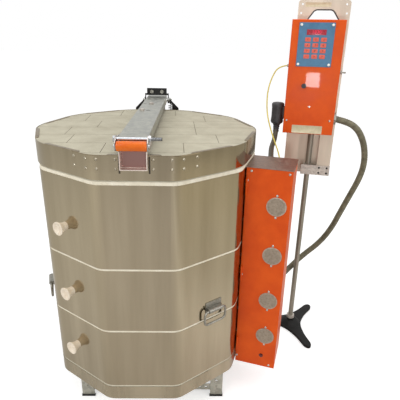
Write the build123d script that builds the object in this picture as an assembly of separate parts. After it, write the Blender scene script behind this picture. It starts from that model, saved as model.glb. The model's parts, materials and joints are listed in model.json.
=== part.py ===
from build123d import *
import math
import os

os.makedirs("parts", exist_ok=True)

# Ten-sided sectional kiln with a hinged lid and its control head on a floor stand.
# Origin: on the floor, on the axis of the firing chamber. +Z up, the front faces -Y.
# All sizes are in millimetres.

# Kiln body
side_count = 10
face_step = 360 / side_count
across_flats = 741.0
jacket_t = 1.0
jacket_gap = 0.3
jacket_bend = 66.0
brick_t = 76.2
brick_joint = 0.8
stand_height = 155.0
floor_t = 57.0
lower_ring_h = 228.6
top_ring_h = 285.8
joint_line = 7.0
top_brick_show = 12.0
lid_rest_gap = 0.3
lid_brick_show = 4.0
lid_t = 76.2
lid_overhang = 4.0

# Levels of the body
floor_z = stand_height
ring3_z = floor_z + floor_t
ring2_z = ring3_z + lower_ring_h
ring1_z = ring2_z + lower_ring_h
rim_z = ring1_z + top_ring_h
lid_z = rim_z + lid_rest_gap
lid_top_z = lid_z + lid_t
ring_levels = {1: (ring1_z, top_ring_h), 2: (ring2_z, lower_ring_h), 3: (ring3_z, lower_ring_h)}

# Flat-side distances from the axis
jacket_out = across_flats / 2
jacket_in = jacket_out - jacket_t
brick_out = jacket_in - jacket_gap
chamber = brick_out - brick_t
lid_out = jacket_out + lid_overhang
half_tan = math.tan(math.radians(face_step / 2))

# Heating elements and their grooves
groove_h = 16.0
groove_depth = 20.0
element_d = 12.0
element_clear = 0.3
groove_share = (0.27, 0.72)
tail_d = 5.0
tail_hole_d = 9.0
tail_spread = 30.0
tail_end = 44.0
bush_d = 14.0
bush_out = 12.0
bush_clear = 0.5
bush_seat = 0.1
connector_d = 12.0
connector_len = 22.0
connector_lap = 14.0

# Thermocouple in the middle ring
probe_d = 7.0
probe_reach = 25.0
probe_head_d = 20.0
probe_head_len = 18.0
probe_clear = 0.5
probe_share = 0.5

# Peepholes and their plugs
peep_face = -36
peep_offset = -20.0
peep_levels = {1: 110.0, 2: 103.0, 3: 111.0}
peep_bore_d = 29.0
peep_inner_d = 25.0
plug_d = 24.0
plug_taper = 5.0
plug_short = 6.0
plug_seat_gap = 0.3
plug_neck_d = 26.0
plug_neck_in = 4.0
plug_flare_d = 44.0
plug_out = 31.0
plug_hollow = 2.5
plug_rim = 3.5
plug_dish_d = 18.0
plug_dish = 5.5

# Lid band strap and its screws
strap_t = 1.5
strap_lift = 26.7
strap_drop = 1.0
strap_half = 46.0
strap_side_end = 50.0
lip_w = 12.0
lip_len = 150.0
screw_head_d = 9.0
screw_head_h = 2.5
screw_crown = 0.6
screw_shank_d = 4.0
screw_clear = 0.3
screw_levels = (37.7, 64.7)
screw_columns = (52.0, 104.0)
screw_side_columns = (58.0, 104.0)

# Lid bar, its front bracket and grip
bar_w = 82.0
bar_h = 30.0
bar_t = 3.0
bar_rise = 53.5
bar_nose = 15.5
bar_tail = 17.0
bracket_t = 2.5
bracket_depth = 22.0
bracket_lift = 40.0
bracket_clear = 0.5
rear_plate_lift = 14.7
rear_reach = 36.0
cheek_t = 3.0
cheek_len = 38.0
grip_d = 27.0
grip_reach = 20.0
grip_drop = 18.0
grip_rod_d = 10.0
grip_clear = 0.3
cross_bolt_d = 9.0
cross_bolt_reach = 6.0
cross_bolt_drop = 2.0
cross_bolt_tail = 34.0
bolt_head_d = 15.0
bolt_head_h = 6.0
side_bolt_d = 8.0
side_bolt_back = (9.0, 28.0)
side_bolt_drop = 18.0
rear_bolt_in = 22.5
top_bolts = ((-3.0, 212.0), (-23.0, 362.0))
top_slots = ((-30.0, 210.0), (-1.0, 360.0))
slot_w = 9.0
slot_len = 16.0

# Hinge tower behind the lid
pivot_out = 29.5
axle_d = 12.0
axle_clear = 0.05
axle_head_d = 20.0
axle_head_t = 3.0
tower_gap = 14.0
tower_t = 4.0
tower_base_t = 3.0
tower_base_half = 100.0
tower_low = 255.0
tower_base_h = 240.0
tower_head_lift = 4.0
tower_head_h = 30.0
tower_head_half = 43.0
tower_inner = 48.0
tower_window = 66.0
tower_knee_half = 95.0
tower_knee_drop = 36.0
tower_neck_half = 52.0
tower_neck_drop = 12.0
tower_window_top = 12.0
tower_foot_drop = 70.0
tower_foot_reach = 30.0
tower_bend = 8.0
ear_t = 4.0
ear_reach = 14.0
spring_reach = 35.0
spring_pin_drop = 2.0
spring_pin_d = 8.0
spring_pin_half = 64.0
spring_drop = 238.0
spring_x = 56.0
spring_d = 17.0
spring_wire = 2.6
spring_pitch = 9.0
spring_turns = 14.5
spring_lead = 50.0
hook_lead = 15.0
hook_clear = 0.5
tower_bolt_d = 8.0

# Places tied to the lid and the jacket
strap_low = lid_z + strap_lift
screw_rows = [lid_z + level for level in screw_levels]
bar_top_z = lid_top_z + bar_rise
bar_front = -(lid_out + bar_nose)
bracket_z = lid_z + bracket_lift
rear_plate_z = lid_z + rear_plate_lift
cheek_back = bar_front + cheek_len
grip_y = bar_front - grip_reach
cross_bolt_y = bar_front - cross_bolt_reach
side_bolt_y = [bar_front + back for back in side_bolt_back]
rear_bolt_y = lid_out - rear_bolt_in
pivot_y = jacket_out + pivot_out
tower_y = pivot_y + tower_gap
spring_pin_y = pivot_y + spring_reach
bar_end = spring_pin_y + bar_tail
tower_foot_z = lid_z - tower_low
tower_base_top = tower_foot_z + tower_base_h
pivot_z = bar_top_z - bar_h / 2
ear_top_z = bar_top_z - bar_t - bracket_clear
spring_pin_z = pivot_z - spring_pin_drop
spring_rod_z = spring_pin_z - spring_drop
spring_start_z = spring_rod_z + spring_lead
tower_head_z = bar_top_z + tower_head_lift
grip_z = bar_top_z - grip_drop
cross_bolt_z = bar_top_z - cross_bolt_drop
side_bolt_z = bar_top_z - side_bolt_drop
bar_in = bar_w / 2 - bar_t

# Lifting handles on the middle ring
handle_faces = {"right": 36, "left": -72}
handle_offset = {"right": 22.0, "left": 0.0}
handle_plate_w = 66.0
handle_plate_h = 40.0
handle_plate_t = 2.5
handle_plate_low = 466.0
handle_z = 478.0
bail_wire = 8.0
bail_w = 88.0
bail_drop = 50.0
bail_bend = 14.0
bail_clear = 0.05
bail_inset = 18.0
barrel_half = 28.0
barrel_wall = 3.5
barrel_out = 13.0

# Element box on the right-hand side face
box_face = 72
box_near = -58.0
box_width = 144.0
box_out = 155.0
box_bottom = 146.0
box_top = 942.0
box_sheet = 1.5
box_stand_off = 3.0
box_edge_gap = 0.5
box_lip = 12.0
box_top_over = 6.0
box_top_inset = 2.0
spacer_d = 14.0
spacer_levels = (192.0, 545.0, 890.0)
spacer_columns = (-45.0, 70.0)
hinge_off = 4.0
hinge_d = 6.5
hinge_barrel_d = 7.0
hinge_pin_d = 3.0
hinge_clear = 0.05
knuckle_len = 20.0
knuckle_gap = 0.4
hinge_levels = (205.0, 515.0, 845.0)
vent_d = 67.0
vent_t = 1.2
vent_plug_d = 60.0
vent_clear = 0.3
vent_levels = (815.0, 631.0, 447.0, 291.0)
vent_out = 110.0
lamp_z = 198.0
lamp_out = 102.0
lamp_d = 10.0
lamp_rim_d = 15.0
lamp_rim_t = 2.0
lamp_lens_h = 6.0
lamp_body_len = 24.0

# Control stand and head
pole_x = 656.0
pole_y = 249.0
stand_turn = -13.0
pole_d = 22.0
pole_foot_z = 8.0
pole_clear = 0.05
base_arm = 172.0
base_arm_angles = (-74.0, 46.0, 166.0)
base_arm_w = 34.0
base_root_w = 74.0
base_tip_h = 12.0
hub_d = 50.0
hub_h = 42.0
hub_flat_d = 56.0
base_mid_r = 80.0
base_mid_h = 22.0
base_bend = 46.0
base_ease = 4.0
foot_collar_d = 36.0
foot_collar_h = 14.0
plate_w = 190.0
plate_low = 790.0
plate_high = 1470.0
plate_flat_z = 1392.0
plate_t = 2.0
plate_shift = -6.0
channel_w = 82.0
channel_depth = 34.0
flange_front = 17.0
pole_top_z = 1380.0
saddle_w = 40.0
saddle_h = 36.0
saddle_levels = (794.0, 1300.0)
clamp_low = 792.0
clamp_h = 42.0
clamp_t = 5.0
clamp_left = -29.0
clamp_right = 90.0
clamp_hole_d = 9.0
clamp_holes = ((46.0, 802.0), (46.0, 824.0), (78.0, 802.0), (78.0, 824.0))
hand_hole_w = 114.0
hand_hole_low = 1402.0
hand_hole_high = 1436.0
hand_hole_slant = 0.7
hand_hole_round = 0.6
keyholes = ((-83.0, 1424.0), (83.0, 1424.0), (-80.0, 1455.0), (80.0, 1455.0))
keyhole_d = 7.0
case_w = 192.0
case_h = 420.0
case_z = 980.0
case_depth = 76.0
case_shift = -22.0
case_sheet = 1.5
case_bend = 3.0
keypad_w = 128.0
keypad_h = 154.0
keypad_z = 1236.0
keypad_shift = -5.0
keypad_t = 1.6
key_w = 20.0
key_h = 14.0
key_bend = 3.0
key_rise = 0.8
key_columns = 3
key_rows = 4
key_pitch_x = 28.5
key_pitch_z = 19.8
key_low_z = 1272.0
display_w = 66.0
display_h = 18.0
display_z = 1347.0
keypad_stud_d = 7.0
keypad_stud_h = 3.0
keypad_stud_inset = 8.0
case_screws = ((-2.0, 1087.0), (-84.0, 1031.0), (80.0, 1036.0))
fuse_x = -31.0
fuse_z = 1165.0
fuse_rim_d = 18.0
fuse_rim_t = 3.0
fuse_body_d = 14.0
fuse_body_len = 38.0
fuse_cap_d = 11.0
fuse_cap_out = 9.0
fuse_cap_len = 22.0
fuse_clear = 0.3
toggle_z = 1216.0
toggle_w = 57.0
toggle_bush_d = 14.0
toggle_bore_d = 10.0
toggle_bush_len = 9.0
toggle_lever_d = 5.0
toggle_tip_d = 6.5
toggle_len = 24.0
toggle_ball_d = 9.0
board_w = 108.0
board_h = 132.0
board_t = 1.6
board_gap = 12.0
board_stud_d = 6.0
relay_w = 38.0
relay_h = 58.0
relay_t = 28.0
relay_columns = (-62.0, 0.0, 62.0)
relay_z = 1010.0

# Power connector, cords and their fittings
plug_body_d = 50.0
plug_body_low = 1008.0
plug_body_h = 86.0
plug_side = 27.0
plug_neck_w = 24.0
plug_neck_low = 1030.0
plug_neck_h = 50.0
conduit_d = 26.0
power_cable_d = 20.0
wire_d = 5.0
gland_len = 10.0
conduit_nut_d = 40.0
cable_nut_d = 30.0
wire_bush_d = 10.0
conduit_end = (75.0, 310.0)
power_end = (60.0, 908.0)
wire_end = (92.0, 930.0)
conduit_start_z = 1039.0
wire_start = (80.0, 1237.0)

# Legs
leg_x = 276.0
leg_y = 210.0
leg_shift = 12.0
leg_w = 48.0
leg_t = 3.0
foot_h = 9.0
foot_sole = 3.0
foot_clear = 0.25
foot_wall = 1.8
frame_angle = 30.0
stretcher_z = 30.0
stretcher_h = 28.0
leg_hole_d = 9.0
leg_hole_pitch = 25.0
leg_hole_first = 30.0
leg_hole_count = 4
stretcher_holes = 3
stretcher_hole_gap = 14.0


def save(name, *shapes):
    solids = [solid for shape in shapes for solid in shape.solids()]
    export_step(Compound(solids), f"parts/{name}.step")


def block(x0, x1, y0, y1, z0, z1):
    centre = Pos((x0 + x1) / 2, (y0 + y1) / 2, (z0 + z1) / 2)
    return centre * Box(x1 - x0, y1 - y0, z1 - z0)


def rod(start, end, diameter, end_diameter=None):
    start = Vector(*start)
    end = Vector(*end)
    line = end - start
    place = Plane(origin=start, z_dir=line)
    low = (Align.CENTER, Align.CENTER, Align.MIN)
    if end_diameter is None:
        return place * Cylinder(diameter / 2, line.length, align=low)
    return place * Cone(diameter / 2, end_diameter / 2, line.length, align=low)


def face_frame(angle):
    # Local x runs along the face, local y is up, local z points out of the kiln.
    turn = math.radians(angle)
    along = (math.cos(turn), math.sin(turn), 0)
    outward = (math.sin(turn), -math.cos(turn), 0)
    return Plane(origin=(0, 0, 0), x_dir=along, z_dir=outward)


def on_face(angle, shape):
    return face_frame(angle) * shape


def decagon(flat, z0, z1, bend=0.0):
    corner = flat / math.cos(math.radians(face_step / 2))
    outline = RegularPolygon(corner, side_count)
    if bend > 0:
        outline = fillet(outline.vertices(), bend)
    return Pos(0, 0, z0) * extrude(outline, z1 - z0)


def shell(flat_out, flat_in, z0, z1, bend):
    inner_bend = bend - (flat_out - flat_in)
    return decagon(flat_out, z0, z1, bend) - decagon(flat_in, z0 - 1, z1 + 1, inner_bend)


# Stand: four angle legs with round holes, rubber shoes, a frame under the floor slab.
def to_corner(shape, side_x, side_y):
    # The stand is a little off the kiln's middle, as it was set down.
    if side_x > 0:
        shape = mirror(shape, Plane.YZ)
    if side_y > 0:
        shape = mirror(shape, Plane.XZ)
    return Pos(leg_shift, 0, 0) * shape


def leg(side_x, side_y):
    profile = block(0, leg_w, 0, leg_t, 0, floor_z - foot_sole)
    profile += block(0, leg_t, 0, leg_w, 0, floor_z - foot_sole)
    for level in range(leg_hole_count):
        height = floor_z - leg_hole_first - level * leg_hole_pitch
        profile -= rod((leg_w / 2, -1, height), (leg_w / 2, leg_t + 1, height), leg_hole_d)
        profile -= rod((-1, leg_w / 2, height), (leg_t + 1, leg_w / 2, height), leg_hole_d)
    return to_corner(Pos(-leg_x, -leg_y, foot_sole) * profile, side_x, side_y)


def foot_shoe(side_x, side_y):
    out = foot_clear + foot_wall
    inside = leg_t + foot_clear + foot_wall
    shoe = block(-out, leg_w + out, -out, inside, 0, foot_h)
    shoe += block(-out, inside, -out, leg_w + out, 0, foot_h)
    wide = leg_w + foot_clear
    slim = leg_t + foot_clear
    pocket = block(-foot_clear, wide, -foot_clear, slim, foot_sole, foot_h + 1)
    pocket += block(-foot_clear, slim, -foot_clear, wide, foot_sole, foot_h + 1)
    return to_corner(Pos(-leg_x, -leg_y, 0) * (shoe - pocket), side_x, side_y)


corners = [(sx, sy) for sx in (-1, 1) for sy in (-1, 1)]
save("stand_legs", *[leg(sx, sy) for sx, sy in corners])
save("foot_shoes", *[foot_shoe(sx, sy) for sx, sy in corners])


def angle_bar(length, side):
    # Angle steel lying along X, its upright flange outside and its shelf level with the top.
    edges = sorted((0, side * leg_t))
    upright = block(-length / 2, length / 2, edges[0], edges[1], floor_z - frame_angle, floor_z)
    edges = sorted((0, side * frame_angle))
    shelf = block(-length / 2, length / 2, edges[0], edges[1], floor_z - leg_t, floor_z)
    return upright + shelf


def stand_frame():
    # Angle bars inside the legs that carry the slab: two long ones, two between them.
    inner_x = leg_x - leg_t
    inner_y = leg_y - leg_t
    bars = []
    for side in (-1, 1):
        bars.append(Pos(0, side * inner_y, 0) * angle_bar(2 * inner_x, -side))
        cross_bar = Rot(0, 0, 90) * angle_bar(2 * (inner_y - frame_angle), side)
        bars.append(Pos(side * inner_x, 0, 0) * cross_bar)
    return bars


def stretchers():
    # Flat bars with a row of round holes, low between the legs.
    inner_x = leg_x - leg_t
    inner_y = leg_y - leg_t
    z0 = stretcher_z
    z1 = stretcher_z + stretcher_h
    bars = []
    for side in (-1, 1):
        y_out = side * inner_y
        y_in = side * (inner_y - leg_t)
        bar = block(-inner_x, inner_x, min(y_out, y_in), max(y_out, y_in), z0, z1)
        for step in range(stretcher_holes):
            for hole_side in (-1, 1):
                x = hole_side * (inner_x - leg_w - stretcher_hole_gap - step * leg_hole_pitch)
                z = (z0 + z1) / 2
                bar -= rod((x, side * inner_y - 10, z), (x, side * inner_y + 10, z), leg_hole_d)
        bars.append(bar)
        x_out = side * inner_x
        x_in = side * (inner_x - leg_t)
        end_y = inner_y - leg_t
        bars.append(block(min(x_out, x_in), max(x_out, x_in), -end_y, end_y, z0, z1))
    return bars


save("stand_frame", *[Pos(leg_shift, 0, 0) * bar for bar in stand_frame() + stretchers()])

# Floor slab and its band.
band_low = 1.0
save("floor_slab", decagon(brick_out, floor_z, ring3_z, jacket_bend - jacket_t - jacket_gap))
save("floor_band", shell(jacket_out, jacket_in, floor_z + band_low, ring3_z - joint_line / 2, jacket_bend))


# Firebrick rings: ten bricks each, grooved inside for two heating elements.
def groove_levels(number):
    z0, height = ring_levels[number]
    return [z0 + share * height for share in groove_share]


def coil_level(groove_level):
    # The element lies on the floor of its groove.
    return groove_level - groove_h / 2 + element_d / 2 + element_clear


def peep_level(number):
    return ring_levels[number][0] + peep_levels[number]


def probe_level():
    return ring2_z + probe_share * lower_ring_h


def ring_bricks(number):
    z0, height = ring_levels[number]
    inner_bend = jacket_bend - jacket_t - jacket_gap
    outline = decagon(brick_out, z0, z0 + height, inner_bend)
    past = brick_out + brick_t
    near = chamber * half_tan - brick_joint / 2
    far = past * half_tan - brick_joint / 2
    profile = Polyline((-near, -chamber), (near, -chamber), (far, -past), (-far, -past), close=True)
    wedge = Pos(0, 0, z0) * extrude(make_face(profile), height)
    bricks = []
    for index in range(side_count):
        angle = index * face_step
        if angle > 180:
            angle -= 360
        brick = (Rot(0, 0, angle) * wedge) & outline
        for level in groove_levels(number):
            low = level - groove_h / 2
            cut = block(-chamber, chamber, low, low + groove_h, chamber - 1, chamber + groove_depth)
            brick -= on_face(angle, cut)
        if angle == box_face:
            for level in groove_levels(number):
                z = coil_level(level)
                for x in (-tail_spread, tail_spread):
                    brick -= on_face(angle, rod((x, z, chamber), (x, z, past), tail_hole_d))
            if number == 2:
                z = probe_level()
                brick -= on_face(angle, rod((0, z, chamber - 1), (0, z, past), probe_d + 2 * probe_clear))
        if angle == peep_face:
            z = peep_level(number)
            start = (peep_offset, z, chamber)
            brick -= on_face(angle, rod(start, (peep_offset, z, brick_out), peep_inner_d, peep_bore_d))
        bricks.append(brick)
    return bricks


def ring_jacket(number):
    z0, height = ring_levels[number]
    low = z0 + joint_line / 2
    high = z0 + height - (joint_line / 2 if number > 1 else top_brick_show)
    skin = shell(jacket_out, jacket_in, low, high, jacket_bend)
    inner = jacket_in - 1
    outer = jacket_out + 1
    z = peep_level(number)
    ends = [(peep_offset, z, inner), (peep_offset, z, outer)]
    skin -= on_face(peep_face, rod(*ends, plug_neck_d + 2 * plug_seat_gap))
    for level in groove_levels(number):
        z = coil_level(level)
        for x in (-tail_spread, tail_spread):
            skin -= on_face(box_face, rod((x, z, inner), (x, z, outer), bush_d + 2 * bush_clear))
    if number == 2:
        z = probe_level()
        skin -= on_face(box_face, rod((0, z, inner), (0, z, outer), probe_d + 2 * probe_clear))
    return skin


def element(groove_level):
    # One element lies in its groove round nine faces and leaves through the box face.
    line = chamber + groove_depth / 2
    z = coil_level(groove_level)
    turn = math.radians(box_face)
    along = Vector(math.cos(turn), math.sin(turn), 0)
    outward = Vector(math.sin(turn), -math.cos(turn), 0)
    corner = line / math.cos(math.radians(face_step / 2))
    points = [outward * line + along * tail_spread]
    for index in range(side_count):
        angle = math.radians(box_face + face_step / 2 + index * face_step)
        points.append(Vector(corner * math.sin(angle), -corner * math.cos(angle), 0))
    points.append(outward * line - along * tail_spread)
    path = Pos(0, 0, z) * Polyline(*points)
    section = Plane(origin=path @ 0, z_dir=path % 0) * RegularPolygon(element_d / 2, 8)
    coil = sweep(section, path=path, transition=Transition.RIGHT)
    tails = []
    for x in (-tail_spread, tail_spread):
        tails.append(on_face(box_face, rod((x, z, line), (x, z, jacket_out + tail_end), tail_d)))
    return coil.fuse(*tails)


def bush(x, z):
    start = (x, z, brick_out + bush_seat)
    end = (x, z, jacket_out + bush_out)
    tube = rod(start, end, bush_d) - rod(start, end, tail_d + 2 * bush_clear)
    return on_face(box_face, tube)


def connector(x, z):
    # Brass barrel clamped on the end of an element's tail.
    start = jacket_out + tail_end - connector_lap
    barrel = rod((x, z, start), (x, z, start + connector_len), connector_d)
    barrel -= rod((x, z, start), (x, z, jacket_out + tail_end + bush_clear), tail_d + bush_clear)
    return on_face(box_face, barrel)


tail_places = []
for number in ring_levels:
    for level in groove_levels(number):
        tail_places.extend([(-tail_spread, coil_level(level)), (tail_spread, coil_level(level))])
    save(f"ring_{number}_bricks", *ring_bricks(number))
    save(f"ring_{number}_jacket", ring_jacket(number))
save("heating_elements", *[element(level) for number in ring_levels for level in groove_levels(number)])
save("element_bushes", *[bush(x, z) for x, z in tail_places])
save("element_connectors", *[connector(x, z) for x, z in tail_places])


# Three flared ceramic plugs, each held by its neck in the jacket's hole.
def plug(number):
    stem = plug_d / 2
    neck = plug_neck_d / 2
    flare = plug_flare_d / 2
    tip = plug_short - brick_t
    rim = plug_out - plug_rim
    # Half section: radius against distance out from the jacket face.
    horn = ThreePointArc((neck, 0), ((neck + flare) / 2 - plug_hollow, rim / 2), (flare, rim))
    rest = Polyline(
        (flare, rim),
        (flare, plug_out),
        (flare - plug_rim, plug_out),
        (plug_dish_d / 2, plug_out - plug_dish),
        (0, plug_out - plug_dish),
        (0, tip),
        (stem - plug_taper / 2, tip),
        (stem, -plug_neck_in),
        (neck, -plug_neck_in),
        (neck, 0),
    )
    body = Rot(90, 0, 0) * revolve(make_face(horn + rest), Axis.Y)
    return on_face(peep_face, Pos(peep_offset, peep_level(number), jacket_out) * body)


for number in ring_levels:
    save(f"peephole_plug_{number}", plug(number))

# Lid: one mortared slab of firebrick in a steel band with folded lips.
lid_bend = jacket_bend + lid_overhang
slab_edge = lid_out - jacket_t - jacket_gap
save("lid_slab", decagon(slab_edge, lid_z, lid_top_z, lid_bend - jacket_t - jacket_gap))


def lid_screw_places():
    places = []
    for z in screw_rows:
        for side in (-1, 1):
            places.extend([(0, side * x, z) for x in screw_columns])
            places.extend([(side * face_step, -side * x, z) for x in screw_side_columns])
    return places


def cut_screw_holes(shape):
    # Holes through the strap and the band, never through the far side of the lid.
    for angle, x, z in lid_screw_places():
        start = (x, z, lid_out - jacket_t - jacket_gap)
        end = (x, z, lid_out + strap_t + 1)
        shape -= on_face(angle, rod(start, end, screw_shank_d + 2 * screw_clear))
    return shape


def lid_band():
    band = shell(lid_out, lid_out - jacket_t, lid_z + lid_brick_show, lid_top_z + jacket_t, lid_bend)
    inner = lid_out - lip_w
    lip = block(-lip_len / 2, lip_len / 2, lid_top_z, lid_top_z + jacket_t, inner, lid_out - jacket_t / 2)
    band = band.fuse(*[on_face(index * face_step, lip) for index in range(side_count)])
    return cut_screw_holes(band)


def lid_strap():
    # A doubler strip on the front of the band, in two halves beside the bracket.
    high = lid_top_z - strap_drop
    ring = shell(lid_out + strap_t, lid_out, strap_low, high, lid_bend + strap_t)
    ring = cut_screw_holes(ring)
    far = 2 * lid_out
    halves = []
    for side in (-1, 1):
        edges = sorted((side * strap_half, side * far))
        keep = block(edges[0], edges[1], -far, 0, strap_low - 1, high + 1)
        edges = sorted((-side * strap_side_end, side * far))
        rest = block(edges[0], edges[1], strap_low - 1, high + 1, 0, far)
        halves.append((ring & keep) - on_face(side * face_step, rest))
    return halves


def screw(angle, x, z, seat, head, shank):
    # Low round head on a face, with a short shank behind it. Each is a width and a length.
    top = rod((x, z, seat), (x, z, seat + head[1]), head[0], head[0] * screw_crown)
    return on_face(angle, top + rod((x, z, seat - shank[1]), (x, z, seat), shank[0]))


save("lid_band", lid_band())
save("lid_strap", *lid_strap())
strap_face = lid_out + strap_t
head = (screw_head_d, screw_head_h)
shank = (screw_shank_d, strap_t + jacket_t)
lid_screws = [screw(*place, strap_face, head, shank) for place in lid_screw_places()]
save("lid_screws", *lid_screws)


# Lid bar: a folded channel from the front bracket back to the hinge tower.
def across(y, z, half, diameter):
    return rod((-half, y, z), (half, y, z), diameter)


def side_plate(points, x0, x1, bend=0.0):
    # A flat plate with its outline in the YZ plane, between two X values.
    outline = make_face(Polyline(*points, close=True))
    if bend > 0:
        outline = fillet(outline.vertices(), bend)
    return Pos(x0, 0, 0) * extrude(Plane.YZ * outline, x1 - x0)


def lid_bar():
    half = bar_w / 2
    under = bar_top_z - bar_h
    channel = block(-half, half, bar_front, bar_end, under, bar_top_z)
    long_edges = channel.edges().filter_by(Axis.Y).group_by(Axis.Z)[-1]
    channel = fillet(long_edges, bar_t)
    channel -= block(-bar_in, bar_in, bar_front - 1, bar_end + 1, under - 1, bar_top_z - bar_t)
    channel -= across(pivot_y, pivot_z, half + 1, axle_d + 2 * axle_clear)
    for y in [*side_bolt_y, rear_bolt_y]:
        channel -= across(y, side_bolt_z, half + 1, side_bolt_d + 2 * screw_clear)
    low = bar_top_z - bar_t - 1
    for x, back in top_bolts:
        y = pivot_y - back
        channel -= rod((x, y, low), (x, y, bar_top_z + 1), side_bolt_d + 2 * screw_clear)
    for x, back in top_slots:
        slot = Pos(x, pivot_y - back, low) * extrude(SlotOverall(slot_len, slot_w), bar_t + 2)
        channel -= slot
    # The pin that the springs pull on is welded across the tail.
    return channel + across(spring_pin_y, spring_pin_z, spring_pin_half, spring_pin_d)


def lid_bracket():
    # Folded plate on the front of the lid: back, bottom lip, and cheeks inside the bar's flanges.
    back_y = -lid_out
    front_y = back_y - bracket_depth
    under = bar_top_z - bar_h
    back = block(-bar_in, bar_in, back_y - bracket_t, back_y, bracket_z, ear_top_z)
    lip = block(-bar_in, bar_in, front_y, back_y, bracket_z, bracket_z + bracket_t)
    nose = bar_front + 1
    profile = [(back_y, bracket_z), (back_y, ear_top_z), (nose, ear_top_z), (nose, under),
               (front_y, under - bracket_depth / 3), (front_y, bracket_z)]
    ears = [side_plate(profile, x, x + bracket_t) for x in (-bar_in, bar_in - bracket_t)]
    plate = back.fuse(lip, *ears)
    return plate - across(side_bolt_y[0], side_bolt_z, bar_in + 1, side_bolt_d + 2 * screw_clear)


def rear_bracket():
    # The same for the back of the lid, shorter.
    under = bar_top_z - bar_h
    back = block(-bar_in, bar_in, lid_out, lid_out + bracket_t, rear_plate_z, ear_top_z)
    low = under - bracket_clear
    profile = [(lid_out + bracket_t, low), (lid_out + bracket_t, ear_top_z),
               (lid_out - rear_reach, ear_top_z), (lid_out - rear_reach, low)]
    ears = [side_plate(profile, x, x + bracket_t) for x in (-bar_in, bar_in - bracket_t)]
    plate = back.fuse(*ears)
    return plate - across(rear_bolt_y, side_bolt_z, bar_in + 1, side_bolt_d + 2 * screw_clear)


def grip_cheeks():
    # Two plates outside the bar that carry the grip and the long bolt in front of it.
    under = bar_top_z - bar_h
    nose = grip_y - grip_rod_d
    bolt_nose = cross_bolt_y - cross_bolt_d
    crest = cross_bolt_z + cross_bolt_d
    profile = [(cheek_back, under), (cheek_back, bar_top_z), (bar_front, bar_top_z), (bar_front, crest),
               (bolt_nose, crest), (nose, grip_z + grip_rod_d), (nose, grip_z - grip_rod_d),
               (bolt_nose, under - cheek_t)]
    plates = []
    for x in (-bar_w / 2 - cheek_t, bar_w / 2):
        plate = side_plate(profile, x, x + cheek_t, 1.5)
        plate -= across(grip_y, grip_z, bar_w, grip_rod_d)
        plate -= across(cross_bolt_y, cross_bolt_z, bar_w, cross_bolt_d)
        for y in side_bolt_y:
            plate -= across(y, side_bolt_z, bar_w, side_bolt_d + 2 * screw_clear)
        plates.append(plate)
    return plates


cheek_out = bar_w / 2 + cheek_t


def hex_head(start, end, size):
    # Six-sided head or nut along a line, measured across its flats.
    line = Vector(*end) - Vector(*start)
    place = Plane(origin=start, z_dir=line)
    return place * extrude(RegularPolygon(size / 2, 6, major_radius=False), line.length)


def front_rods():
    y, z = cross_bolt_y, cross_bolt_z
    head = hex_head((-cheek_out - bolt_head_h, y, z), (-cheek_out, y, z), bolt_head_d)
    bolt = head + rod((-cheek_out, y, z), (cheek_out + cross_bolt_tail, y, z), cross_bolt_d - 2 * axle_clear)
    bolt += hex_head((cheek_out, y, z), (cheek_out + bolt_head_h, y, z), bolt_head_d)
    grip_rod = across(grip_y, grip_z, cheek_out + cheek_t, grip_rod_d - 2 * axle_clear)
    return [bolt, grip_rod]


def lid_grip():
    half = bar_w / 2 - grip_clear
    tube = across(grip_y, grip_z, half, grip_d)
    tube = fillet(tube.edges(), 3)
    return tube - across(grip_y, grip_z, half + 1, grip_rod_d + 2 * screw_clear)


def bar_bolts():
    bolts = []
    for side in (-1, 1):
        inner = bar_in - bracket_t
        for y, outer in [(y, cheek_out) for y in side_bolt_y] + [(rear_bolt_y, bar_w / 2)]:
            z = side_bolt_z
            shank = rod((side * inner, y, z), (side * outer, y, z), side_bolt_d)
            head = hex_head((side * outer, y, z), (side * (outer + bolt_head_h / 2), y, z), bolt_head_d)
            bolts.append(shank + head)
    for x, back in top_bolts:
        y = pivot_y - back
        low = bar_top_z - bar_t
        bolt = rod((x, y, low), (x, y, bar_top_z), side_bolt_d)
        bolt += hex_head((x, y, bar_top_z), (x, y, bar_top_z + bolt_head_h), bolt_head_d)
        bolt += hex_head((x, y, low - bolt_head_h), (x, y, low), bolt_head_d)
        bolts.append(bolt)
    return bolts


save("lid_bar", lid_bar())
save("lid_bracket", lid_bracket())
save("lid_rear_bracket", rear_bracket())
save("grip_cheeks", *grip_cheeks())
save("lid_front_rods", *front_rods())
save("lid_grip", lid_grip())
save("bar_bolts", *bar_bolts())


# Hinge tower: base plate on the rear jacket, side gussets, an A-shaped front plate and ears.
def tower_side(side):
    inner_top = pivot_z - tower_window_top
    foot = spring_rod_z - tower_foot_drop
    top = tower_head_z + tower_head_h
    points = [
        (tower_window, foot),
        (tower_base_half, foot),
        (tower_base_half, tower_base_top),
        (tower_knee_half, pivot_z - tower_knee_drop),
        (tower_neck_half, tower_head_z - tower_neck_drop),
        (tower_neck_half, tower_head_z + tower_bend),
        (tower_head_half, tower_head_z + tower_bend),
        (tower_head_half, top),
        (0, top),
        (0, tower_head_z),
        (tower_inner, tower_head_z),
        (tower_inner, inner_top),
        (tower_window, inner_top - tower_bend),
    ]
    outline = make_face(Polyline(*[(side * x, z) for x, z in points], close=True))
    return Pos(0, tower_y, 0) * extrude(Plane.XZ * outline, -tower_t)


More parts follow.
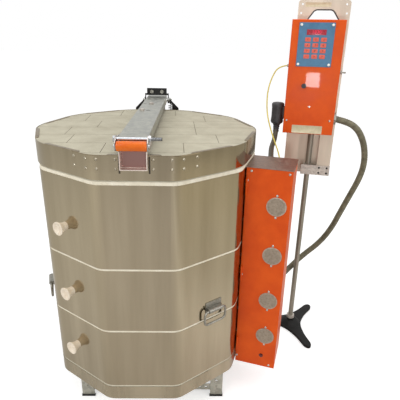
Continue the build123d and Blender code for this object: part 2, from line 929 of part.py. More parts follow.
def hinge_tower():
    back = tower_y + tower_t
    base_back = jacket_out + tower_base_t
    base = block(-tower_base_half, tower_base_half, jacket_out, base_back, tower_foot_z, tower_base_top)
    nose = spring_pin_y + spring_pin_d
    gusset = [
        (jacket_out, tower_foot_z),
        (jacket_out, tower_base_top),
        (back, pivot_z - tower_foot_drop),
        (back, spring_rod_z + tower_foot_reach),
        (nose, spring_rod_z + 2 * spring_pin_d),
        (nose, spring_rod_z - 2 * spring_pin_d),
        (back, spring_rod_z - tower_foot_drop),
    ]
    pieces = [tower_side(-1), tower_side(1)]
    for side in (-1, 1):
        x = min(side * tower_base_half, side * (tower_base_half - tower_t))
        pieces.append(side_plate(gusset, x, x + tower_t))
        x = min(side * tower_inner, side * (tower_inner + ear_t))
        ear = block(x, x + ear_t, pivot_y - ear_reach, tower_y, pivot_z - ear_reach, pivot_z + ear_reach)
        pieces.append(fillet(ear.edges().filter_by(Axis.X).group_by(Axis.Y)[0], ear_reach - 1))
    pieces.append(across(spring_pin_y, spring_rod_z, tower_base_half - 1, spring_pin_d))
    tower = base.fuse(*pieces)
    for side in (-1, 1):
        ear_in = side * (tower_inner - 1)
        ear_out = side * (tower_inner + ear_t + 1)
        tower -= rod((ear_in, pivot_y, pivot_z), (ear_out, pivot_y, pivot_z), axle_d)
    hole = tower_bolt_d + 2 * screw_clear
    for x, z in tower_bolt_places():
        tower -= rod((x, jacket_out - 1, z), (x, base_back + 1, z), hole)
    for x in head_bolt_columns:
        z = tower_head_z + tower_head_h / 2
        tower -= rod((x, tower_y - 1, z), (x, tower_y + tower_t + 1, z), hole)
    return tower


def tower_bolt_places():
    levels = (tower_foot_z + 20, (tower_foot_z + tower_base_top) / 2, tower_base_top - 20)
    return [(side * 78, z) for side in (-1, 1) for z in levels]


head_bolt_columns = (-22.0, 22.0)


def tower_bolts():
    bolts = []
    for x, z in tower_bolt_places():
        face = jacket_out + tower_base_t
        bolt = rod((x, jacket_out, z), (x, face, z), tower_bolt_d)
        bolts.append(bolt + hex_head((x, face, z), (x, face + bolt_head_h, z), bolt_head_d))
    for x in head_bolt_columns:
        z = tower_head_z + tower_head_h / 2
        bolt = rod((x, tower_y, z), (x, tower_y + tower_t, z), tower_bolt_d)
        bolt += hex_head((x, tower_y - bolt_head_h / 2, z), (x, tower_y, z), bolt_head_d)
        bolt += hex_head((x, tower_y + tower_t, z), (x, tower_y + tower_t + bolt_head_h, z), bolt_head_d)
        bolts.append(bolt)
    return bolts


def hinge_axle():
    reach = tower_inner + ear_t
    pin = across(pivot_y, pivot_z, reach, axle_d - 2 * axle_clear)
    for side in (-1, 1):
        x = side * reach
        pin += rod((x, pivot_y, pivot_z), (x + side * axle_head_t, pivot_y, pivot_z), axle_head_d)
    return pin


save("hinge_tower", hinge_tower())
save("tower_bolts", *tower_bolts())
save("hinge_axle", hinge_axle())


# Lift springs: one unbroken wire each, a hook round the rod, a close helix, a hook round the pin.
def join_by_arcs(start, end, leave, arrive):
    # Two arcs that meet smoothly, from one direction to the other.
    line = end - start
    both = leave + arrive
    bow = 2 * (1 - leave.dot(arrive))
    reach = (-line.dot(both) + math.sqrt(line.dot(both) ** 2 + bow * line.dot(line))) / bow
    first = start + leave * reach
    second = end - arrive * reach
    middle = (first + second) * 0.5
    return [TangentArc(start, middle, tangent=leave), TangentArc(middle, end, tangent=second - first)]


def spring_wire_path(x):
    coil_r = (spring_d - spring_wire) / 2
    hook_r = spring_pin_d / 2 + hook_clear + spring_wire / 2
    y = spring_pin_y
    rise = spring_pitch / (2 * math.pi)
    steep = math.hypot(coil_r, rise)
    up = Vector(0, 0, 1)
    points = []
    heads = []
    for half_turn in range(round(2 * spring_turns) + 1):
        angle = -math.pi / 2 + half_turn * math.pi
        z = spring_start_z + half_turn * spring_pitch / 2
        points.append(Vector(x + coil_r * math.cos(angle), y + coil_r * math.sin(angle), z))
        heads.append(Vector(-math.sin(angle) * coil_r, math.cos(angle) * coil_r, rise) * (1 / steep))
    foot = Vector(x, y - hook_r, spring_rod_z)
    foot_top = Vector(x, y - hook_r, spring_start_z - hook_lead)
    crown_side = y + hook_r * (1 if half_turn % 2 else -1)
    crown_low = Vector(x, crown_side, points[-1].Z + hook_lead)
    crown = Vector(x, crown_side, spring_pin_z)
    crown_end = Vector(x, 2 * y - crown_side, spring_pin_z)
    edges = [ThreePointArc(Vector(x, y + hook_r, spring_rod_z), Vector(x, y, spring_rod_z - hook_r), foot)]
    edges.append(Line(foot, foot_top))
    edges.extend(join_by_arcs(foot_top, points[0], up, heads[0]))
    for start, end, leave, arrive in zip(points, points[1:], heads, heads[1:]):
        edges.extend(join_by_arcs(start, end, leave, arrive))
    edges.extend(join_by_arcs(points[-1], crown_low, heads[-1], up))
    edges.append(Line(crown_low, crown))
    edges.append(ThreePointArc(crown, Vector(x, y, spring_pin_z + hook_r), crown_end))
    return edges


def least_gap(edges, wire):
    # Smallest space between stretches of the wire that are not next to each other.
    step = wire / 2
    samples = []
    along = 0.0
    for edge in edges:
        count = max(2, math.ceil(edge.length / step))
        samples.extend([(along + edge.length * i / count, edge @ (i / count)) for i in range(count)])
        along += edge.length
    least = math.inf
    for i, (here, p) in enumerate(samples):
        for there, q in samples[i + 1:]:
            if there - here > 3 * wire:
                least = min(least, (p - q).length - wire)
    return least


def lift_spring(x):
    edges = spring_wire_path(x)
    print("spring at", x, "least gap to itself", round(least_gap(edges, spring_wire), 2))
    path = Wire(edges)
    section = Plane(origin=path @ 0, z_dir=path % 0) * Circle(spring_wire / 2)
    return sweep(section, path=path)


save("hinge_springs", lift_spring(-spring_x), lift_spring(spring_x))


# Lifting handles on the middle ring: a plate with a rolled barrel and a drop bail.
def handle_plate(side):
    x = handle_offset[side]
    half = handle_plate_w / 2
    top = handle_plate_low + handle_plate_h
    axis_out = jacket_out + barrel_out
    barrel_d = bail_wire + 2 * barrel_wall
    plate = block(x - half, x + half, handle_plate_low, top, jacket_out, jacket_out + handle_plate_t)
    low = handle_z - barrel_d / 2
    plate += block(x - barrel_half, x + barrel_half, low, low + barrel_d, jacket_out, axis_out)
    ends = [(x - barrel_half, handle_z, axis_out), (x + barrel_half, handle_z, axis_out)]
    plate += rod(*ends, barrel_d)
    plate -= rod(*ends, bail_wire + 2 * bail_clear)
    return on_face(handle_faces[side], plate)


def handle_bail(side):
    x = handle_offset[side]
    out = bail_w / 2
    low = handle_z - bail_drop
    route = [(x - barrel_half + bail_inset, handle_z), (x - out, handle_z), (x - out, low),
             (x + out, low), (x + out, handle_z), (x + barrel_half - bail_inset, handle_z)]
    path = Pos(0, 0, jacket_out + barrel_out) * FilletPolyline(*route, radius=bail_bend)
    section = Plane(origin=path @ 0, z_dir=path % 0) * Circle(bail_wire / 2)
    return on_face(handle_faces[side], sweep(section, path=path))


save("handle_plates", *[handle_plate(side) for side in handle_faces])
for side in handle_faces:
    save(f"handle_bail_{side}", handle_bail(side))


# Element box: a fixed back, far wall and floor, a top plate, and a hinged cover of two walls.
box_far = box_near + box_width
hinge_t = box_near - hinge_off


def box_block(t0, t1, z0, z1, d0, d1):
    return block(t0, t1, z0, z1, jacket_out + d0, jacket_out + d1)


def box_rod(t, z, d0, d1, diameter):
    return rod((t, z, jacket_out + d0), (t, z, jacket_out + d1), diameter)


def knuckle(low):
    centre = (hinge_t, low, jacket_out + hinge_d)
    top = (hinge_t, low + knuckle_len - knuckle_gap, jacket_out + hinge_d)
    return rod(centre, top, hinge_barrel_d)


def hinge_bore():
    start = (hinge_t, box_bottom, jacket_out + hinge_d)
    end = (hinge_t, box_top, jacket_out + hinge_d)
    return rod(start, end, hinge_pin_d + 2 * hinge_clear)


def box_back():
    wall = box_stand_off + box_sheet
    edge = box_near + box_edge_gap
    lid_in = box_out - box_sheet - knuckle_gap
    near_in = box_near + box_sheet + box_edge_gap
    pieces = [box_block(edge, box_far, box_bottom, box_top, box_stand_off, wall)]
    pieces.append(box_block(box_far - box_sheet, box_far, box_bottom, box_top, box_stand_off, lid_in))
    pieces.append(box_block(near_in, box_far, box_bottom, box_bottom + box_sheet, box_stand_off, lid_in))
    pieces.append(box_block(box_far - box_lip, box_far, box_bottom, box_top, lid_in - box_sheet, lid_in))
    for t in spacer_columns:
        pieces.extend([box_rod(t, z, 0, box_stand_off, spacer_d) for z in spacer_levels])
    for level in hinge_levels:
        for low in (level, level + 2 * knuckle_len):
            pieces.append(knuckle(low))
            high = low + knuckle_len - knuckle_gap
            pieces.append(box_block(hinge_t, edge + 1, low, high, box_stand_off, wall))
    back = pieces[0].fuse(*pieces[1:])
    for t, z in tail_places:
        back -= box_rod(t, z, box_stand_off - 1, wall + 1, bush_d + 2 * bush_clear)
    back -= box_rod(0, probe_level(), box_stand_off - 1, wall + 1, probe_d + 2 * probe_clear)
    back = back - hinge_bore()
    return on_face(box_face, back)


def box_cover():
    low = box_bottom + box_edge_gap
    high = box_top - box_edge_gap
    edge = hinge_d - hinge_barrel_d / 2 + 2
    near = box_block(box_near, box_near + box_sheet, low, high, edge, box_out)
    outer = box_block(box_near, box_far, low, high, box_out - box_sheet, box_out)
    pieces = [outer]
    for level in hinge_levels:
        start = level + knuckle_len
        pieces.append(knuckle(start))
        end = start + knuckle_len - knuckle_gap
        pieces.append(box_block(hinge_t, box_near + box_sheet, start, end, hinge_d + 1, hinge_d + 3))
    cover = near.fuse(*pieces)
    cover -= hinge_bore()
    for z in vent_levels:
        cover -= wall_rod(z, vent_out, -1, box_sheet + 1, vent_plug_d + 2 * vent_clear)
    cover -= wall_rod(lamp_z, lamp_out, -1, box_sheet + 1, lamp_d + 2 * vent_clear)
    return on_face(box_face, cover)


def wall_rod(z, out, into_start, into_end, diameter):
    # A cylinder through the cover's near wall, measured inwards from its outer face.
    start = (box_near + into_start, z, jacket_out + out)
    end = (box_near + into_end, z, jacket_out + out)
    return rod(start, end, diameter)


def vent_disc(z):
    disc = wall_rod(z, vent_out, -vent_t, 0, vent_d) + wall_rod(z, vent_out, 0, box_sheet, vent_plug_d)
    return on_face(box_face, disc)


def pilot_lamp():
    lamp = wall_rod(lamp_z, lamp_out, -lamp_rim_t, 0, lamp_rim_d)
    lamp += wall_rod(lamp_z, lamp_out, -lamp_lens_h, lamp_body_len, lamp_d)
    return on_face(box_face, lamp)


def hinge_pins():
    pins = []
    for level in hinge_levels:
        start = (hinge_t, level, jacket_out + hinge_d)
        end = (hinge_t, level + 3 * knuckle_len - knuckle_gap, jacket_out + hinge_d)
        pins.append(on_face(box_face, rod(start, end, hinge_pin_d)))
    return pins


def thermocouple_probe():
    z = probe_level()
    seat = jacket_out + box_stand_off + box_sheet
    sheath = rod((0, z, chamber - probe_reach), (0, z, seat), probe_d)
    head = rod((0, z, seat), (0, z, seat + probe_head_len), probe_head_d)
    return on_face(box_face, sheath + head)


top_low = box_near - box_top_inset
top_high = box_far + box_top_over
top_plate = box_block(top_low, top_high, box_top, box_top + box_sheet, 0, box_out + box_top_inset)
save("box_back", box_back())
save("box_cover", box_cover())
save("box_top_plate", on_face(box_face, top_plate))
save("box_hinge_pins", *hinge_pins())
save("vent_discs", *[vent_disc(z) for z in vent_levels])
save("pilot_lamp", pilot_lamp())
save("thermocouple_probe", thermocouple_probe())


# Control stand. Local x runs across the control head, y is up, z points to its front.
def on_stand(shape):
    return Pos(pole_x, pole_y, 0) * on_face(stand_turn, shape)


def pole_base():
    # Three-armed foot: flat below, rounded between the arms, sloping from the hub to the tips.
    star = Circle(hub_flat_d / 2)
    for angle in base_arm_angles:
        root = base_root_w / 2
        half = base_arm_w / 2
        arm = make_face(Polyline((0, -root), (base_arm, -half), (base_arm, half), (0, root), close=True))
        tip = Pos(base_arm, 0) * Circle(half)
        star += Rot(0, 0, angle) * (arm + tip)
    inner = [corner for corner in star.vertices() if corner.center().length < hub_flat_d]
    star = fillet(inner, base_bend)
    solid = extrude(star, hub_h)
    far = base_arm + base_arm_w
    profile = Polyline(
        (0, 0), (far, 0), (far, base_tip_h),
        (base_arm - base_arm_w, base_tip_h + base_ease / 2), (base_mid_r, base_mid_h),
        (hub_d / 2 + base_ease, hub_h - base_ease), (hub_d / 2, hub_h), (0, hub_h), close=True,
    )
    slope = revolve(Plane.XZ * make_face(profile), Axis.Z)
    foot = (solid & slope) - rod((0, 0, pole_foot_z), (0, 0, hub_h + 1), pole_d + 2 * pole_clear)
    return Pos(pole_x, pole_y, 0) * foot


def ring_on_pole(low, height, diameter):
    ends = [(0, 0, low), (0, 0, low + height)]
    ring = rod(*ends, diameter) - rod(*ends, pole_d + 2 * pole_clear)
    return Pos(pole_x, pole_y, 0) * ring


def pole_clamps():
    # A collar at the foot, two saddles in the channel, and the plate across the lower one.
    clamps = [ring_on_pole(hub_h, foot_collar_h, foot_collar_d)]
    half = saddle_w / 2
    back = flange_front - channel_depth + plate_t
    for low in saddle_levels:
        saddle = block(-half, half, low, low + saddle_h, back, flange_front)
        saddle -= rod((0, low, 0), (0, low + saddle_h, 0), pole_d + 2 * pole_clear)
        clamps.append(on_stand(saddle))
    clamp_top = clamp_low + clamp_h
    strap = block(clamp_left, clamp_right, clamp_low, clamp_top, flange_front, flange_front + clamp_t)
    for x, z in clamp_holes:
        strap -= rod((x, z, flange_front), (x, z, flange_front + clamp_t), clamp_hole_d)
    clamps.append(on_stand(strap))
    return clamps


def control_back_plate():
    # Hat channel: side flanges at the front, the pole inside the channel, a flat head with a hand hole.
    left = plate_shift - plate_w / 2
    right = plate_shift + plate_w / 2
    in_left = plate_shift - channel_w / 2
    in_right = plate_shift + channel_w / 2
    front = flange_front
    back = flange_front - channel_depth
    plate = block(left, right, plate_low, plate_high, front - plate_t, front)
    plate -= block(in_left, in_right, plate_low - 1, plate_flat_z, front - plate_t - 1, front + 1)
    pieces = []
    pieces.append(block(in_left - plate_t, in_left, plate_low, plate_flat_z, back, front))
    pieces.append(block(in_right, in_right + plate_t, plate_low, plate_flat_z, back, front))
    pieces.append(block(in_left - plate_t, in_right + plate_t, plate_low, plate_flat_z, back, back + plate_t))
    plate = plate.fuse(*pieces)
    corners = plate.edges().filter_by(Axis.Z).group_by(Axis.Y)[-1]
    plate = fillet(corners, 12)
    hole = Pos(plate_shift, hand_hole_low, 0) * arch(hand_hole_w, hand_hole_high - hand_hole_low)
    plate -= Pos(0, 0, front - plate_t - 1) * extrude(hole, plate_t + 2)
    for x, z in keyholes:
        plate -= rod((plate_shift + x, z, front - plate_t - 1), (plate_shift + x, z, front + 1), keyhole_d)
    return on_stand(plate)


def arch(width, height):
    # A grip hole with a flat top and slanting, rounded shoulders.
    half = width / 2
    shoulder = half - height * hand_hole_slant
    outline = make_face(Polyline((-half, 0), (half, 0), (shoulder, height), (-shoulder, height), close=True))
    upper = outline.vertices().group_by(Axis.Y)[-1]
    return fillet(upper, height * hand_hole_round)


case_front = flange_front + case_depth
case_right = case_shift + case_w / 2
case_left = case_shift - case_w / 2


def control_case():
    case = block(case_left, case_right, case_z, case_z + case_h, flange_front, case_front)
    folds = case.edges().filter_by(Axis.Y) + case.edges().group_by(Axis.Z)[-1].filter_by(Axis.X)
    case = fillet(folds.group_by(Axis.Z)[-1], case_bend)
    sheet = case_sheet
    case -= block(case_left + sheet, case_right - sheet, case_z + sheet, case_z + case_h - sheet,
                  flange_front + sheet, case_front - sheet)
    x = case_shift + fuse_x
    hole = fuse_body_d + 2 * fuse_clear
    case -= rod((x, fuse_z, case_front - sheet - 1), (x, fuse_z, case_front + 1), hole)
    return on_stand(case)


def keypad_overlay():
    x0 = case_shift + keypad_shift
    centre_z = keypad_z + keypad_h / 2
    sheet = Pos(x0, centre_z, case_front) * extrude(RectangleRounded(keypad_w, keypad_h, key_bend), keypad_t)
    raised = [Pos(x0, display_z + display_h / 2) * RectangleRounded(display_w, display_h, 1)]
    for column in range(key_columns):
        for row in range(key_rows):
            x = x0 + (column - (key_columns - 1) / 2) * key_pitch_x
            raised.append(Pos(x, key_low_z + row * key_pitch_z) * RectangleRounded(key_w, key_h, key_bend))
    keys = [Pos(0, 0, case_front + keypad_t) * extrude(shape, key_rise) for shape in raised]
    return on_stand(sheet.fuse(*keys))


def head_screws():
    # Four studs at the keypad's corners and three screws lower on the front.
    screws = []
    x0 = case_shift + keypad_shift
    reach = keypad_w / 2 - keypad_stud_inset
    for x in (x0 - reach, x0 + reach):
        for z in (keypad_z + keypad_stud_inset, keypad_z + keypad_h - keypad_stud_inset):
            seat = case_front + keypad_t
            stud = rod((x, z, seat), (x, z, seat + keypad_stud_h), keypad_stud_d, keypad_stud_d * screw_crown)
            screws.append(on_stand(stud))
    for x, z in case_screws:
        x += case_shift
        ends = [(x, z, case_front), (x, z, case_front + screw_head_h)]
        screws.append(on_stand(rod(*ends, screw_head_d, screw_head_d * screw_crown)))
    return screws


def fuse_holder():
    x = case_shift + fuse_x
    rim = rod((x, fuse_z, case_front), (x, fuse_z, case_front + fuse_rim_t), fuse_rim_d)
    body = rod((x, fuse_z, case_front - fuse_body_len), (x, fuse_z, case_front), fuse_body_d)
    seat = (x, fuse_z, case_front - fuse_cap_len)
    bore = rod(seat, (x, fuse_z, case_front + fuse_rim_t), fuse_cap_d + 2 * fuse_clear)
    return on_stand(rim + body - bore)


def fuse_cap():
    x = case_shift + fuse_x
    tip = case_front + fuse_cap_out
    cap = rod((x, fuse_z, case_front - fuse_cap_len + fuse_clear), (x, fuse_z, tip), fuse_cap_d)
    knob = rod((x, fuse_z, case_front + fuse_rim_t + fuse_clear), (x, fuse_z, tip), fuse_cap_d + 4)
    cap = cap + knob
    slot = block(x - fuse_cap_d, x + fuse_cap_d, fuse_z - 1, fuse_z + 1, tip - 2, tip + 1)
    return on_stand(cap - slot)


def toggle_switch():
    start = (case_right, toggle_z, toggle_w)
    end = (case_right + toggle_bush_len, toggle_z, toggle_w)
    inside = (case_right + 1, toggle_z, toggle_w)
    return on_stand(rod(start, end, toggle_bush_d) - rod(inside, end, toggle_bore_d))


def toggle_lever():
    # A bat-shaped lever on a ball, drawn as a half section along its own length.
    pivot = case_right + toggle_bush_len / 2 + 1
    ball_r = toggle_ball_d / 2
    neck_r = toggle_lever_d / 2
    neck = math.sqrt(ball_r ** 2 - neck_r ** 2)
    tip = case_right + toggle_len - pivot
    ball = ThreePointArc((-ball_r, 0), (0, ball_r), (neck, neck_r))
    tip_r = toggle_tip_d / 2
    bat = Polyline((neck, neck_r), (tip - 1, tip_r), (tip, tip_r - 1), (tip, 0), (-ball_r, 0))
    lever = revolve(make_face([ball, *bat.edges()]), Axis.X)
    return on_stand(Pos(pivot, toggle_z, toggle_w) * lever)


def controller_board():
    # Circuit board on four spacers behind the keypad.
    x0 = case_shift + keypad_shift
    z0 = keypad_z + keypad_h / 2
    face = case_front - case_sheet
    half_w = board_w / 2
    half_h = board_h / 2
    near = face - board_gap
    board = block(x0 - half_w, x0 + half_w, z0 - half_h, z0 + half_h, near - board_t, near)
    for x in (x0 - half_w + board_stud_d, x0 + half_w - board_stud_d):
        for z in (z0 - half_h + board_stud_d, z0 + half_h - board_stud_d):
            board += rod((x, z, near), (x, z, face), board_stud_d)
    return on_stand(board)


def power_relays():
    back = flange_front + case_sheet
    relays = []
    for x in relay_columns:
        x += case_shift
        relay = block(x - relay_w / 2, x + relay_w / 2, relay_z, relay_z + relay_h, back, back + relay_t)
        relays.append(on_stand(relay))
    return relays


def power_connector():
    x = case_left - plug_side
    body = rod((x, plug_body_low, toggle_w), (x, plug_body_low + plug_body_h, toggle_w), plug_body_d)
    body = fillet(body.edges(), 3)
    half = plug_neck_w / 2
    neck = block(x, case_left, plug_neck_low, plug_neck_low + plug_neck_h, toggle_w - half, toggle_w + half)
    return on_stand(body + neck)


save("pole", Pos(pole_x, pole_y, 0) * rod((0, 0, pole_foot_z), (0, 0, pole_top_z), pole_d))
save("pole_base", pole_base())
save("pole_clamps", *pole_clamps())
save("control_back_plate", control_back_plate())
save("control_case", control_case())
save("keypad_overlay", keypad_overlay())
save("case_screws", *head_screws())
save("fuse_holder", fuse_holder())
save("fuse_cap", fuse_cap())
save("toggle_switch", toggle_switch())
save("toggle_lever", toggle_lever())
save("case_electronics", controller_board(), *power_relays())
save("power_connector", power_connector())


# Conduit, power cable and thermocouple wire between the control head and the element box.
conduit_route = [
    (725.4, 174.4, 1039), (772, 166, 1030), (815, 174, 1004), (848, 189, 962), (872, 206, 914),
    (887, 222, 862), (891, 236, 808), (883, 250, 750), (862, 266, 675), (838, 280, 592), (812, 293, 503),
    (768, 305, 422),
    (692, 304, 352), (611, 264, 288), (546, 186, 283), (492, 68, 300), (453.4, -46.4, 310),
]
power_route = [
    (502.0, 226.1, 1008), (500, 220, 972), (492, 196, 944), (476, 156, 930), (464, 98, 921), (451, 20, 912),
    (439.1, -41.6, 908),
]
wire_route = [
    (519.0, 198.6, 1237), (487, 205, 1232), (465, 195, 1198), (449, 180, 1153), (443, 155, 1102),
    (444, 122, 1056),
    (452, 80, 1015), (460, 33, 983), (474, -5, 943), (469.2, -52.6, 930),
]
bend_share = 0.45


def cord(name, route, diameter):
    points = [Vector(*point) for point in route]
    radii = []
    for before, corner, after in zip(points, points[1:], points[2:]):
        turn = (corner - before).get_angle(after - corner)
        shorter = min((corner - before).length, (after - corner).length)
        radii.append(bend_share * shorter / math.tan(math.radians(turn / 2)))
    path = FilletPolyline(*points, radius=radii)
    section = Plane(origin=path @ 0, z_dir=path % 0) * Circle(diameter / 2)
    tube = sweep(section, path=path)
    ratio = tube.volume / (math.pi * diameter ** 2 / 4 * path.length)
    print(name, "length", round(path.length), "volume share", round(ratio, 4))
    print("radii", [round(radius) for radius in radii])
    save(name, tube)


cord("conduit", conduit_route, conduit_d)
cord("power_cable", power_route, power_cable_d)
cord("thermocouple_wire", wire_route, wire_d)


def cord_fittings():
    fittings = []
    start = (case_right, conduit_start_z, toggle_w)
    end = (case_right + gland_len, conduit_start_z, toggle_w)
    fittings.append(on_stand(hex_head(start, end, conduit_nut_d)))
    start = (case_left, wire_start[1], wire_start[0])
    end = (case_left - gland_len / 2, wire_start[1], wire_start[0])
    fittings.append(on_stand(rod(start, end, wire_bush_d)))
    ends = ((conduit_end, conduit_nut_d), (power_end, cable_nut_d), (wire_end, wire_bush_d))
    for (out, z), size in ends:
        near = (box_far, z, jacket_out + out)
        fittings.append(on_face(box_face, hex_head(near, (box_far + gland_len, z, jacket_out + out), size)))
    return fittings


save("cord_fittings", *cord_fittings())
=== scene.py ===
# %% [markdown]
# # Dressing a pottery kiln
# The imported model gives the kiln's real shapes: brick rings in steel jackets, a sprung lid,
# an element box and a control head on its own stand. This lesson gives each surface the
# finish of the real thing, and models the small pieces that a builder's drawing leaves out.
# Blender measures in metres. A value that is multiplied by MM, or given to a helper that says
# so, is in millimetres as on the drawing.

# %% Load the fixed frame
import bpy
import bmesh
import json
from math import atan2, cos, pi, radians, sin, tan
from mathutils import Matrix, Vector


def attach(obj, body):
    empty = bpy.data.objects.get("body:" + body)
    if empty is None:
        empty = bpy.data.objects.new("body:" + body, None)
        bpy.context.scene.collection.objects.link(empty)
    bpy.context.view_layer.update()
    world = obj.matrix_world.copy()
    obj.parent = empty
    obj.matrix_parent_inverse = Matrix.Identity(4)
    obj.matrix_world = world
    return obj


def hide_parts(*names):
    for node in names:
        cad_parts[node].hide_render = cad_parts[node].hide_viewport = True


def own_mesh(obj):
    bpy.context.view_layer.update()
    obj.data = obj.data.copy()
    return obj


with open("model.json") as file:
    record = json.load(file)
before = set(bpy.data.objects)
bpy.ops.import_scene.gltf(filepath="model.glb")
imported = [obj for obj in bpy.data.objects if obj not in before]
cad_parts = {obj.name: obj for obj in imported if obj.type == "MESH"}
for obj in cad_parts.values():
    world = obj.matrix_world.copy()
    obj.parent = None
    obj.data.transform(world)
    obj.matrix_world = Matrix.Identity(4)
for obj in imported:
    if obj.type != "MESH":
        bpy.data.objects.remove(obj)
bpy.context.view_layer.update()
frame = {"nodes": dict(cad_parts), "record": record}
nodes = frame["nodes"]
MM = 0.001

# %% [markdown]
# ## The camera
# The photograph was taken from chest height, a little right of the kiln's middle and looking
# down. A camera could be moved by hand until the two look alike, but its errors would hide.
# The place, the three angles and the lens were found from the lid's outline, the ring lines
# and the edges of the box, so the camera is written as those few numbers.

# %% Place the camera
def new_object(name, data):
    """An object of its own in the scene, for data made here."""
    made = bpy.data.objects.new(name, data)
    bpy.context.scene.collection.objects.link(made)
    return made


camera_place = Vector((0.1591, -1.4893, 1.3428))
camera_yaw = radians(1.19)
camera_pitch = radians(21.47)
camera_roll = radians(1.09)
camera_lens, camera_film = 37.95, 36.0

ahead = Vector((sin(camera_yaw) * cos(camera_pitch),
                cos(camera_yaw) * cos(camera_pitch), -sin(camera_pitch)))
level_right = Vector((cos(camera_yaw), -sin(camera_yaw), 0))
level_up = level_right.cross(ahead)
right = level_right * cos(camera_roll) + level_up * sin(camera_roll)
up = level_up * cos(camera_roll) - level_right * sin(camera_roll)
camera_data = bpy.data.cameras.new("camera")
camera_data.lens = camera_lens
camera_data.sensor_width = camera_film
camera = new_object("camera", camera_data)
turn = Matrix((right, up, -ahead)).transposed().to_4x4()
camera.matrix_world = Matrix.Translation(camera_place) @ turn
bpy.context.scene.camera = camera
bpy.context.scene.view_settings.view_transform = "Standard"
print("camera at", tuple(round(v, 3) for v in camera_place))

# %% [markdown]
# ## The cords
# Three flexible lines join the control head to the kiln: a sheathed conduit that sweeps
# round behind the pole, a short power cable, and the thin yellow thermocouple wire.
# A line drawn straight from point to point would show a kink at each of them, and the handles
# of a Bezier curve would have to be set one by one. So each cord is one smooth spline whose
# control points are the route's points, and it hangs in even curves by itself.

# %% Draw a smooth line through a route
def smooth_line(name, route, closed=False, resolution=24):
    """A spline of order 3 with the route's points, in millimetres, as its control points."""
    data = bpy.data.curves.new(name, "CURVE")
    data.dimensions = "2D" if closed else "3D"
    spline = data.splines.new("NURBS")
    spline.points.add(len(route) - 1)
    for point, place in zip(spline.points, route):
        point.co = (*[v * MM for v in place], 1)
    spline.order_u = 3
    spline.use_cyclic_u = closed
    spline.use_endpoint_u = not closed
    spline.resolution_u = resolution
    return new_object(name, data)


def line_points(line):
    """Points along the spline as Blender itself evaluates it."""
    bpy.context.view_layer.update()
    graph = bpy.context.evaluated_depsgraph_get()
    mesh = bpy.data.meshes.new_from_object(line.evaluated_get(graph))
    points = [vertex.co.copy() for vertex in mesh.vertices]
    bpy.data.meshes.remove(mesh)
    return points


conduit_route = [
    (725.4, 174.4, 1039), (772, 166, 1030), (815, 174, 1004), (848, 189, 962), (872, 206, 914),
    (887, 222, 862), (891, 236, 808), (883, 250, 750), (862, 266, 675), (838, 280, 592),
    (812, 293, 503), (768, 305, 422), (692, 304, 352), (611, 264, 288), (546, 186, 283),
    (492, 68, 300), (453.4, -46.4, 310),
]
power_route = [
    (502.0, 226.1, 1008), (500, 220, 972), (492, 196, 944), (476, 156, 930), (464, 98, 921),
    (451, 20, 912), (439.1, -41.6, 908),
]
wire_route = [
    (519.0, 198.6, 1237), (487, 205, 1232), (465, 195, 1198), (449, 180, 1153), (443, 155, 1102),
    (444, 122, 1056), (452, 80, 1015), (460, 33, 983), (474, -5, 943), (469.2, -52.6, 930),
]

# %% [markdown]
# ## Tubes that follow a line
# A bevelled spline is a plain round tube. The conduit has a wound rib under its sheath and
# the heating elements are coiled wire, so these are skinned ring by ring: a ring of points
# is carried along the line without twisting, and its radius can rise and fall with a thread.

# %% Even steps and the tube skin
def even_points(points, step):
    """The same line at even steps, ends included."""
    lengths = [0.0]
    for a, b in zip(points, points[1:]):
        lengths.append(lengths[-1] + (b - a).length)
    count = max(2, round(lengths[-1] / step))
    spaced, at = [], 0
    for index in range(count + 1):
        want = lengths[-1] * index / count
        while at < len(points) - 2 and lengths[at + 1] < want:
            at += 1
        share = (want - lengths[at]) / max(lengths[at + 1] - lengths[at], 1e-9)
        spaced.append(points[at].lerp(points[at + 1], share))
    return spaced


def tube_along(name, points, radius, sides, thread_pitch=0.0, thread_height=0.0):
    """Skins a tube with closed ends round a line, with an optional wound rib."""
    count = len(points)
    vertices, faces, travelled, side = [], [], 0.0, None
    for index, place in enumerate(points):
        before, after = points[max(index - 1, 0)], points[min(index + 1, count - 1)]
        tangent = (after - before).normalized()
        if side is None:
            side = tangent.orthogonal().normalized()
        side = (side - tangent * side.dot(tangent)).normalized()
        other = tangent.cross(side)
        if index:
            travelled += (place - before).length
        for corner in range(sides):
            angle = 2 * pi * corner / sides
            reach = radius
            if thread_pitch:
                reach += thread_height * cos(2 * pi * travelled / thread_pitch + angle)
            vertices.append(place + (side * cos(angle) + other * sin(angle)) * reach)
    for low in range(0, (count - 1) * sides, sides):
        for corner in range(sides):
            after = (corner + 1) % sides
            faces.append((low + corner, low + after, low + sides + after, low + sides + corner))
    faces.append(tuple(range(sides))[::-1])
    faces.append(tuple(range((count - 1) * sides, count * sides)))
    mesh = bpy.data.meshes.new(name)
    mesh.from_pydata(vertices, [], faces)
    for face in mesh.polygons:
        face.use_smooth = len(face.vertices) == 4
    return new_object(name, mesh)


# %% [markdown]
# ## Skin the three cords
# The conduit shows its wound rib, so it gets the skinned tube. The power cable and the wire
# are plain and round, so they stay splines with a round bevel, which can still be reshaped by
# their few points.

# %% The three cords
conduit_d, power_d, wire_d = 0.026, 0.020, 0.005
ring_step, sheath_sides, rib_pitch, rib_height = 0.0016, 18, 0.0085, 0.0004
conduit_line = smooth_line("conduit_line", conduit_route)
conduit_points = even_points(line_points(conduit_line), ring_step)
bpy.data.objects.remove(conduit_line)
conduit_tube = tube_along("flexible_conduit", conduit_points, conduit_d / 2 - rib_height, sheath_sides,
                          rib_pitch, rib_height)
power_lead = smooth_line("power_lead", power_route)
sensor_wire = smooth_line("sensor_wire", wire_route)
